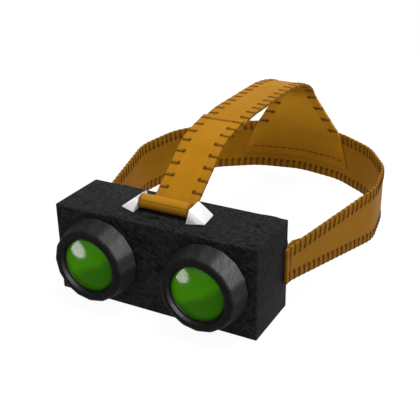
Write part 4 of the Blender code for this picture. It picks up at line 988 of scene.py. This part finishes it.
ends = (BAND_UNSEWN, band_length - BAND_UNSEWN)
stitches = blanket_stitch(band, -1, *ends, BAND_PITCH, BAND_STITCH, None, band_free)
stitches += blanket_stitch(band, 1, *ends, BAND_PITCH, BAND_STITCH, None, band_free_top)
band_thread = threads("head_band_thread", stitches)
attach(band_thread, "harness")


# The crown strap is two straps sewn where they lap. The rear one widens into a yoke, which goes
# down inside the band and is sewn to it. The front one tucks under the roll and bends.
CROWN_HALF_WIDTH = 0.01405
CROWN_TOP = 0.0913
CROWN_SOFTENING = 0.008
CROWN_PACE = 0.003
CROWN_PITCH = 0.0085
CROWN_STITCH = 0.0060
CROWN_BEND = (0.284, 0.944)
CROWN_LAP = (0.4014, 1.0)
CROWN_BACK = ((0.4590, 1.0), (0.7455, 1.0), (0.8477, 0.9606), (0.9117, 0.8916))
YOKE_NECK = (0.9364, 0.7996)
LAP_LENGTH = 0.0142
SEAM_GAP = FIT * 4 / 3
SEAM_MARGIN = 0.001
FRONT_TUCKED = 0.009
FRONT_UNSEWN = 0.007
ROLL_Y = FRONT_Y + 0.018
ROLL_Z = BOX_HEIGHT + 0.0047
ROLL_RADIUS = 0.0044


def crown_place(share, half=CROWN_HALF_WIDTH):
    return (FRONT_Y + share[0] * BAND_REACH, share[1] * CROWN_TOP, half)


def crown_rows(path, columns=8, first_edge=True, last_edge=True):
    rows = []
    walked = paced(path, CROWN_PACE)
    length = walked[-1][1]
    for place, run in walked:
        y, z, half = place
        row = []
        for column in range(columns + 1):
            x = half * (2 * column / columns - 1)
            near = half - abs(x)
            if first_edge:
                near = min(near, run)
            if last_edge:
                near = min(near, length - run)
            row.append((Vector((x, y, z)), run, near))
        rows.append(row)
    return rows


lap, bend = crown_place(CROWN_LAP), crown_place(CROWN_BEND)
on_box = BOX_HEIGHT + FIT + HIDE
tuck = [(ROLL_Y + ROLL_RADIUS, on_box + FIT / 2, CROWN_HALF_WIDTH),
        (ROLL_Y + ROLL_RADIUS + HIDE * 1.7, on_box + HIDE * 0.3, CROWN_HALF_WIDTH),
        (ROLL_Y + 2.5 * ROLL_RADIUS, ROLL_Z, CROWN_HALF_WIDTH)]
front_rows = crown_rows(softened([*tuck, bend, lap], CROWN_SOFTENING), first_edge=False)
front_length = front_rows[-1][0][1]
# The front crown strap's hide is given a lighter tone: painted light.
crown_leather = hide("crown_leather", CROWN_PITCH, CROWN_STITCH, 1.08)
crown_front = strap("crown_strap_front_leather", front_rows, crown_leather)
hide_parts("crown_strap_front")


def front_free(run):
    """True where nothing lies under the front strap."""
    return FRONT_TUCKED < run < front_length - LAP_LENGTH - 2 * SEAM_MARGIN


stitches = []
for edge_side in (-1, 1):
    stitches += blanket_stitch(front_rows, edge_side, FRONT_UNSEWN, front_length, CROWN_PITCH, CROWN_STITCH,
                               None, front_free)
crown_front_thread = threads("crown_strap_front_thread", stitches)
for soft in (crown_front, crown_front_thread):
    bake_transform(soft)


# The rear strap starts under the front one's end. From its neck it widens to the yoke, whose foot
# goes down inside the band, is sewn to it along its lower edge and is pared thin at its edges.
YOKE_COLUMNS = 12
NECK_HALF_WIDTH = 0.015
WAIST_HALF_WIDTH = 0.0334
FOOT_HALF_WIDTH = 0.043
YOKE_BOTTOM = 0.019
YOKE_SKIVE = 0.007
YOKE_PAINTED_LIGHT = (-0.006, 0.052)
FOOT_STITCHES = 14
FOOT_STITCH_START = -0.0365
FOOT_STITCH_PITCH = 0.0054
FOOT_STITCH_LENGTH = 0.0038
FOOT_STITCH_RISE = 0.0058


def inside_band(x, gap):
    """How far back the band's inner face is, less a gap, across the back of the head."""
    path = [Vector(place[:2]) for place in band_path()]
    inner = []
    for before, here, after in zip(path, path[1:], path[2:]):
        onward = (after - before).normalized()
        inner.append(here + Vector((onward.y, -onward.x)) * (HIDE + gap))
    for near, far in zip(inner, inner[1:]):
        if near.x <= x <= far.x and near.y > BAND_REACH / 2:
            return near.y + (far.y - near.y) * (x - near.x) / max(far.x - near.x, SAME_PLACE)
    return max(place.y for place in inner)


slope = (lap[1] - bend[1]) / (lap[0] - bend[0])
drop = HIDE * math.hypot(1, slope) + SEAM_GAP
under_lap = [(lap[0] - LAP_LENGTH, lap[1] - slope * LAP_LENGTH - drop, CROWN_HALF_WIDTH),
             (lap[0], lap[1] - drop, CROWN_HALF_WIDTH)]
neck = crown_place(YOKE_NECK, NECK_HALF_WIDTH)
back_path = softened([*under_lap, *[crown_place(share) for share in CROWN_BACK], neck], CROWN_SOFTENING)
rear_rows = crown_rows(back_path, YOKE_COLUMNS, last_edge=False)
to_neck = rear_rows[-1][0][1]
yoke_parts = [(NECK_HALF_WIDTH, WAIST_HALF_WIDTH, neck[1], BAND_TOP, 14),
              (WAIST_HALF_WIDTH, FOOT_HALF_WIDTH, BAND_TOP, YOKE_BOTTOM, 10)]
for part, (top_half, low_half, top, low, steps) in enumerate(yoke_parts):
    flare = math.cos(math.atan2(low_half - top_half, top - low))
    for step in range(1, steps + 1):
        t = step / steps
        half = top_half * (1 - t) + low_half * t
        z = top * (1 - t) + low * t
        row = []
        for column in range(YOKE_COLUMNS + 1):
            across = 2 * column / YOKE_COLUMNS - 1
            x = across * half
            if part == 0:
                y = neck[0] * (1 - t) + inside_band(across * low_half, SEAM_GAP) * t
                near = (half - abs(x)) * flare
            else:
                y = inside_band(x, SEAM_GAP)
                near = HIDE * 8
            row.append((Vector((x, y, z)), to_neck + neck[1] - z, near))
        rear_rows.append(row)
to_band = to_neck + neck[1] - BAND_TOP
# From just before the neck down the yoke the hide is painted lighter: painted light.
painted_light_run = [to_neck + reach for reach in YOKE_PAINTED_LIGHT]
yoke_leather = hide("yoke_leather", CROWN_PITCH, CROWN_STITCH, 1.0, painted_light_run)


def skived(cell):
    """How full the yoke's thickness is. Its foot is pared down to the edges against the band."""
    place, run, _ = cell
    down = (BAND_TOP - place.z) / (BAND_TOP - YOKE_BOTTOM)
    if run <= to_neck or down <= 0:
        return 1.0
    side = WAIST_HALF_WIDTH + (FOOT_HALF_WIDTH - WAIST_HALF_WIDTH) * down - abs(place.x)
    inward = min(side, place.z - YOKE_BOTTOM, YOKE_SKIVE)
    return 1 - min(down * 6, 1.0) * 0.8 * (1 - inward / YOKE_SKIVE)


crown_rear = strap("crown_strap_rear_leather", rear_rows, yoke_leather, skived)
replaced(crown_rear, "crown_strap_rear", "harness")


def rear_free_over(run):
    """True where nothing lies over the rear strap."""
    return LAP_LENGTH + SEAM_MARGIN < run < to_band - SEAM_MARGIN


stitches = []
for edge_side in (-1, 1):
    stitches += blanket_stitch(rear_rows, edge_side, LAP_LENGTH + 3 * SEAM_MARGIN, to_band, CROWN_PITCH,
                               CROWN_STITCH, rear_free_over)
for k in range(FOOT_STITCHES):
    start = FOOT_STITCH_START + FOOT_STITCH_PITCH * k
    line = dash(start, FOOT_STITCH_LENGTH, turn=0.0004, sunk=0.0002, lift=-0.00022)
    stitches.append([Vector((x, inside_band(x, SEAM_GAP) - HIDE + lift, YOKE_BOTTOM + FOOT_STITCH_RISE))
                     for x, lift in line])
crown_rear_thread = threads("crown_strap_rear_thread", stitches)
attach(crown_rear_thread, "harness")


# Behind each ear of the housing a leather patch is sewn inside the band. A stud through the patch
# and the ear lets the whole harness turn.
PATCH_ROUND = 0.0003
PATCH_HALF_HEIGHT = 0.007

patch_leather = hide("patch_leather", CROWN_PITCH, 0.0, 0.8)
for side in SIDES:
    bm = rounded(f"strap_patch_{side}", PATCH_ROUND)
    edge = bm.verts.layers.float.new("edge")
    along = bm.verts.layers.float.new("along")
    for vert in bm.verts:
        vert[edge] = max(PATCH_HALF_HEIGHT - abs(vert.co.z - AXIS_Z), 0.0)
        vert[along] = vert.co.y
    patch = piece(f"strap_patch_{side}_leather", bm, patch_leather, 40)
    replaced(patch, f"strap_patch_{side}", "harness")


# The strap's lower end is rolled round the bar between the white wedges. The roll is closed by a
# skived lip with a row of stitches along the lower front. Its ends, the line along the lip and the
# lines between the layers on its end faces are painted dark as shade.
ROLL_BORE = 0.0023
ROLL_HALF_LENGTH = 0.0166
ROLL_BORE_EDGE = 0.0003
ROLL_CORNER = ((0.0006, 0.0), (0.0002, 0.0002), (0.0, 0.0007))
ROLL_STEPS = 64
ROLL_LIP_ANGLE = math.radians(212)
ROLL_LIP = 0.00035
ROLL_LAYER = 0.00075
ROLL_FACE = ROLL_HALF_LENGTH - 0.00012
ROLL_DARK_START = ROLL_HALF_LENGTH - 0.0018
ROLL_DARK_FULL = ROLL_HALF_LENGTH - 0.0006
ROLL_STITCHES = 7
ROLL_STITCH_START = -0.0140
ROLL_STITCH_PITCH = 0.0042
ROLL_STITCH_LENGTH = 0.0028
ROLL_STITCH_ANGLE = ROLL_LIP_ANGLE - 0.20


def roll_leather():
    finish = Finish("roll_leather")
    x, y, z = finish.xyz()
    dy, dz = y - ROLL_Y, z - ROLL_Z
    radius = (dy * dy + dz * dz).math("SQRT")
    angle = dz.math("ARCTAN2", dy)
    broad = finish.noise(0.012, 4.0, 0.6, finish.at(x * 0.5, y, z))
    grain = finish.cells(0.0008, "SMOOTH_F1")
    out = abs(x)
    end_shade = (out + broad * 0.0008).rise(ROLL_DARK_START, ROLL_DARK_FULL)
    face = out > ROLL_FACE
    spiral = (radius / ROLL_LAYER + angle / math.tau).fraction()
    layers = abs(spiral - 0.5).rise(0.30, 0.46) * face
    lip = abs(angle - (ROLL_LIP_ANGLE - math.tau) - 0.02).rise(0.16, 0.03)
    base = finish.mix(broad, (0.38, 0.168, 0.008), (0.48, 0.215, 0.0105))
    # The ends, the lip's edge and the gaps between the rolled layers are painted dark: painted shade.
    base = finish.mix(end_shade * 0.6, base, (0.13, 0.052, 0.006))
    base = finish.mix(lip * 0.55, base, (0.1, 0.042, 0.005))
    base = finish.mix(layers * 0.8, base, (0.045, 0.018, 0.003))
    height = grain * 0.35 + broad * 0.3 - layers * 0.8 - lip * 0.3
    return finish.set(colour=base, roughness=0.4 + grain * 0.12, normal=finish.relief(height, 0.4, 0.0005),
                      specular=0.06)


section = [(ROLL_BORE, ROLL_HALF_LENGTH - ROLL_BORE_EDGE), (ROLL_BORE + ROLL_BORE_EDGE, ROLL_HALF_LENGTH)]
section += [(ROLL_RADIUS - inset, ROLL_HALF_LENGTH - drop) for inset, drop in ROLL_CORNER]
section += [(ROLL_RADIUS, ROLL_HALF_LENGTH * share) for share in (0.6, 0.3)]
section += [(radius, -height) for radius, height in reversed(section)]
bm = turned(section, ROLL_STEPS)
for vert in bm.verts:
    if vert.co.xy.length > ROLL_BORE + ROLL_BORE_EDGE + SAME_PLACE:
        turn = (math.atan2(vert.co.x, vert.co.y) - ROLL_LIP_ANGLE) % math.tau / math.tau
        vert.co.xy *= 1 - ROLL_LIP * turn / ROLL_RADIUS
place = Matrix.Translation((0, ROLL_Y, ROLL_Z)) @ Matrix.Rotation(math.pi / 2, 4, "Y")
bmesh.ops.transform(bm, matrix=place, verts=bm.verts)
roll = piece("strap_roll_leather", bm, roll_leather(), 45)
replaced(roll, "strap_roll", "roll")

outward = Vector((0, math.cos(ROLL_STITCH_ANGLE), math.sin(ROLL_STITCH_ANGLE)))
stitches = []
for k in range(ROLL_STITCHES):
    start = ROLL_STITCH_START + ROLL_STITCH_PITCH * k
    line = dash(start, ROLL_STITCH_LENGTH, turn=0.0003, sunk=-0.0004, lift=0.00006)
    stitches.append([Vector((x, ROLL_Y, ROLL_Z)) + outward * (ROLL_RADIUS + lift) for x, lift in line])
roll_thread = threads("strap_roll_thread", stitches)
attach(roll_thread, "roll")


# The face cushion is moulded foam rubber on the shield's frame, crowned and thicker towards the
# temples, with a skin that meets the face and a moulded seam near its foot.
SHIELD_HALF_WIDTH = 0.0604
SHIELD_HALF_HEIGHT = 0.0225
SHIELD_SIDE = ((0.86, 1.0), (0.945, 0.90), (1.0, 0.20), (1.0, -0.20), (0.945, -0.90), (0.86, -1.0))
SHIELD_NOSE = ((0.33, -1.0), (0.16, -0.66))
SHIELD_SOFTENING = 0.008
CUSHION_PACE = 0.004
CUSHION_FOOT = 0.0026
CUSHION_WIDTH = 0.006
CUSHION_TEMPLE = 0.0165
CUSHION_BROW = 0.009
CUSHION_SECTION = ((0.0, 0.0), (-0.02, 0.18), (0.02, 0.27), (0.0, 0.36), (0.01, 0.60), (0.06, 0.80),
                   (0.18, 0.94), (0.38, 1.0), (0.60, 0.97), (0.80, 0.86), (0.94, 0.66), (1.0, 0.40),
                   (1.0, 0.0), (0.5, 0.0))


def foam():
    finish = Finish("foam_rubber")
    pores = finish.cells(0.0006, "F1")
    broad = finish.noise(0.012, 4.0, 0.6)
    base = finish.mix(broad, (0.011, 0.011, 0.0115), (0.024, 0.024, 0.0245))
    return finish.set(colour=base, roughness=0.72 + broad * 0.12, normal=finish.relief(pores, 0.35, 0.0004),
                      specular=0.12)


half_outline = [(x * SHIELD_HALF_WIDTH, z * SHIELD_HALF_HEIGHT) for x, z in (*SHIELD_SIDE, *SHIELD_NOSE)]
mirrored = [(-x, z) for x, z in reversed(half_outline)]
brow = (0, SHIELD_HALF_HEIGHT)
around = softened([brow, *half_outline, *mirrored, brow], SHIELD_SOFTENING, 6)
outline = [point for point, run in paced(around, CUSHION_PACE)][:-1]
count, depth_count = len(outline), len(CUSHION_SECTION)
bm = bmesh.new()
bmesh.ops.create_grid(bm, x_segments=count, y_segments=depth_count, size=0.5)
for vert in bm.verts:
    i = round((vert.co.x + 0.5) * count) % count
    inset, rise = CUSHION_SECTION[round((vert.co.y + 0.5) * depth_count) % depth_count]
    onward = (outline[(i + 1) % count] - outline[i - 1]).normalized()
    x, z = outline[i] + Vector((onward.y, -onward.x)) * inset * CUSHION_WIDTH
    outward = (x / SHIELD_HALF_WIDTH) ** 2
    depth = CUSHION_BROW + (CUSHION_TEMPLE - CUSHION_BROW) * outward - CUSHION_FOOT
    vert.co = (x, BOX_HALF_DEPTH + CUSHION_FOOT + depth * rise, AXIS_Z + z)
bmesh.ops.remove_doubles(bm, verts=bm.verts, dist=SAME_PLACE)
bmesh.ops.recalc_face_normals(bm, faces=bm.faces)
cushion = piece("face_cushion_foam", bm, foam(), 60)
fuller = cushion.modifiers.new("fuller", "SUBSURF")
fuller.levels = 1
fuller.render_levels = 1
replaced(cushion, "face_cushion", "housing")


# The camera stands where the photograph was taken from, and looks at a white floor under soft
# studio light, with the main light high over the goggles, a little to their right and back.
AZIMUTH = math.radians(28.349)
ELEVATION = math.radians(25.420)
ROLL = math.radians(-0.884)
DISTANCE = 0.42233
TARGET = Vector((0.03754, FRONT_Y, 0.07347))
FOCAL_LENGTH = 69.515

towards = Vector((math.sin(AZIMUTH) * math.cos(ELEVATION), -math.cos(AZIMUTH) * math.cos(ELEVATION),
                  math.sin(ELEVATION)))
camera = bpy.data.objects.new("camera", bpy.data.cameras.new("camera"))
camera.data.lens = FOCAL_LENGTH
camera.data.clip_start = 0.01
camera.location = TARGET + towards * DISTANCE
turned_to = towards.to_track_quat("Z", "Y").to_matrix()
camera.rotation_euler = (turned_to @ Matrix.Rotation(ROLL, 3, "Z")).to_euler()
bpy.context.scene.collection.objects.link(camera)
bpy.context.scene.camera = camera


def lamp(name, place, aim, size, watts, height=None):
    """A soft lamp turned to what it lights, round or oval."""
    made = bpy.data.objects.new(name, bpy.data.lights.new(name, "AREA"))
    made.data.shape = "ELLIPSE"
    made.data.size = size
    made.data.size_y = height or size
    made.data.energy = watts
    made.location = place
    made.rotation_euler = (Vector(place) - Vector(aim)).to_track_quat("Z", "Y").to_euler()
    made.visible_camera = False
    bpy.context.scene.collection.objects.link(made)
    return made


AIM = (0, 0.06, 0.04)
lamp("main_lamp", place=(0.22, 0.15, 1.24), aim=AIM, size=0.6, watts=12.5)
lamp("front_lamp", place=(-0.35, -1.15, 0.40), aim=AIM, size=0.8, watts=2.4)
sheen = lamp("sheen_lamp", place=(0.98, 0.70, 0.86), aim=(0.035, -0.03, 0.03), size=0.5, watts=260)
sheen.data.use_shadow = False
glint = lamp("glint_lamp", place=(-0.93, -0.77, -0.125), aim=(0, -0.03, 0.028), size=0.68, watts=62,
             height=0.44)
glint.data.color = (1.0, 0.82, 0.98)
for shine, lit in ((sheen, "focus_ring"), (glint, "objective_lens")):
    shine.visible_diffuse = False
    shine.light_linking.receiver_collection = bpy.data.collections.new(lit + "s")
    for made in bpy.context.scene.objects:
        if made.name.startswith(lit):
            shine.light_linking.receiver_collection.objects.link(made)


def seen_white(finish):
    """1 where a surface is to look white: to the camera, in reflections and through glass."""
    rays = finish.node("LightPath").socket.node.outputs
    camera_ray, glossy_ray, glass_ray = [Tone(finish, rays[f"Is {kind} Ray"])
                                         for kind in ("Camera", "Glossy", "Transmission")]
    return camera_ray.most(glossy_ray).most(glass_ray)


def shown(finish, output, factor, shader):
    """Mixes another shader over a material's or the world's own, and shows the result."""
    own = Tone(finish, finish.shader.outputs[0])
    mixed = finish.node("MixShader", inputs={0: factor, 1: own, 2: shader})
    finish.plug(finish.tree.nodes[output].inputs["Surface"], mixed)


world = bpy.data.worlds.new("studio")
bpy.context.scene.world = world
sky = Finish("studio", world)
sky.plug(sky.shader.inputs["Color"], (1, 1, 1, 1))
sky.plug(sky.shader.inputs["Strength"], 0.3)
shown(sky, "World Output", seen_white(sky), sky.node("Background", inputs={"Color": (1, 1, 1, 1)}))

FLOOR_RADIUS = 4.0
bm = bmesh.new()
bmesh.ops.create_circle(bm, cap_ends=True, segments=64, radius=FLOOR_RADIUS)
matt = Finish("floor")
floor_paint = matt.set(colour=(0.7, 0.7, 0.7, 1), roughness=1.0, specular=0.0)
shown(matt, "Material Output", seen_white(matt) * 0.88, matt.node("Emission", inputs={"Strength": 1.08}))
ground = piece("floor", bm, floor_paint)
ground.visible_glossy = False
ground.visible_shadow = False

bpy.context.scene.view_settings.view_transform = "Standard"
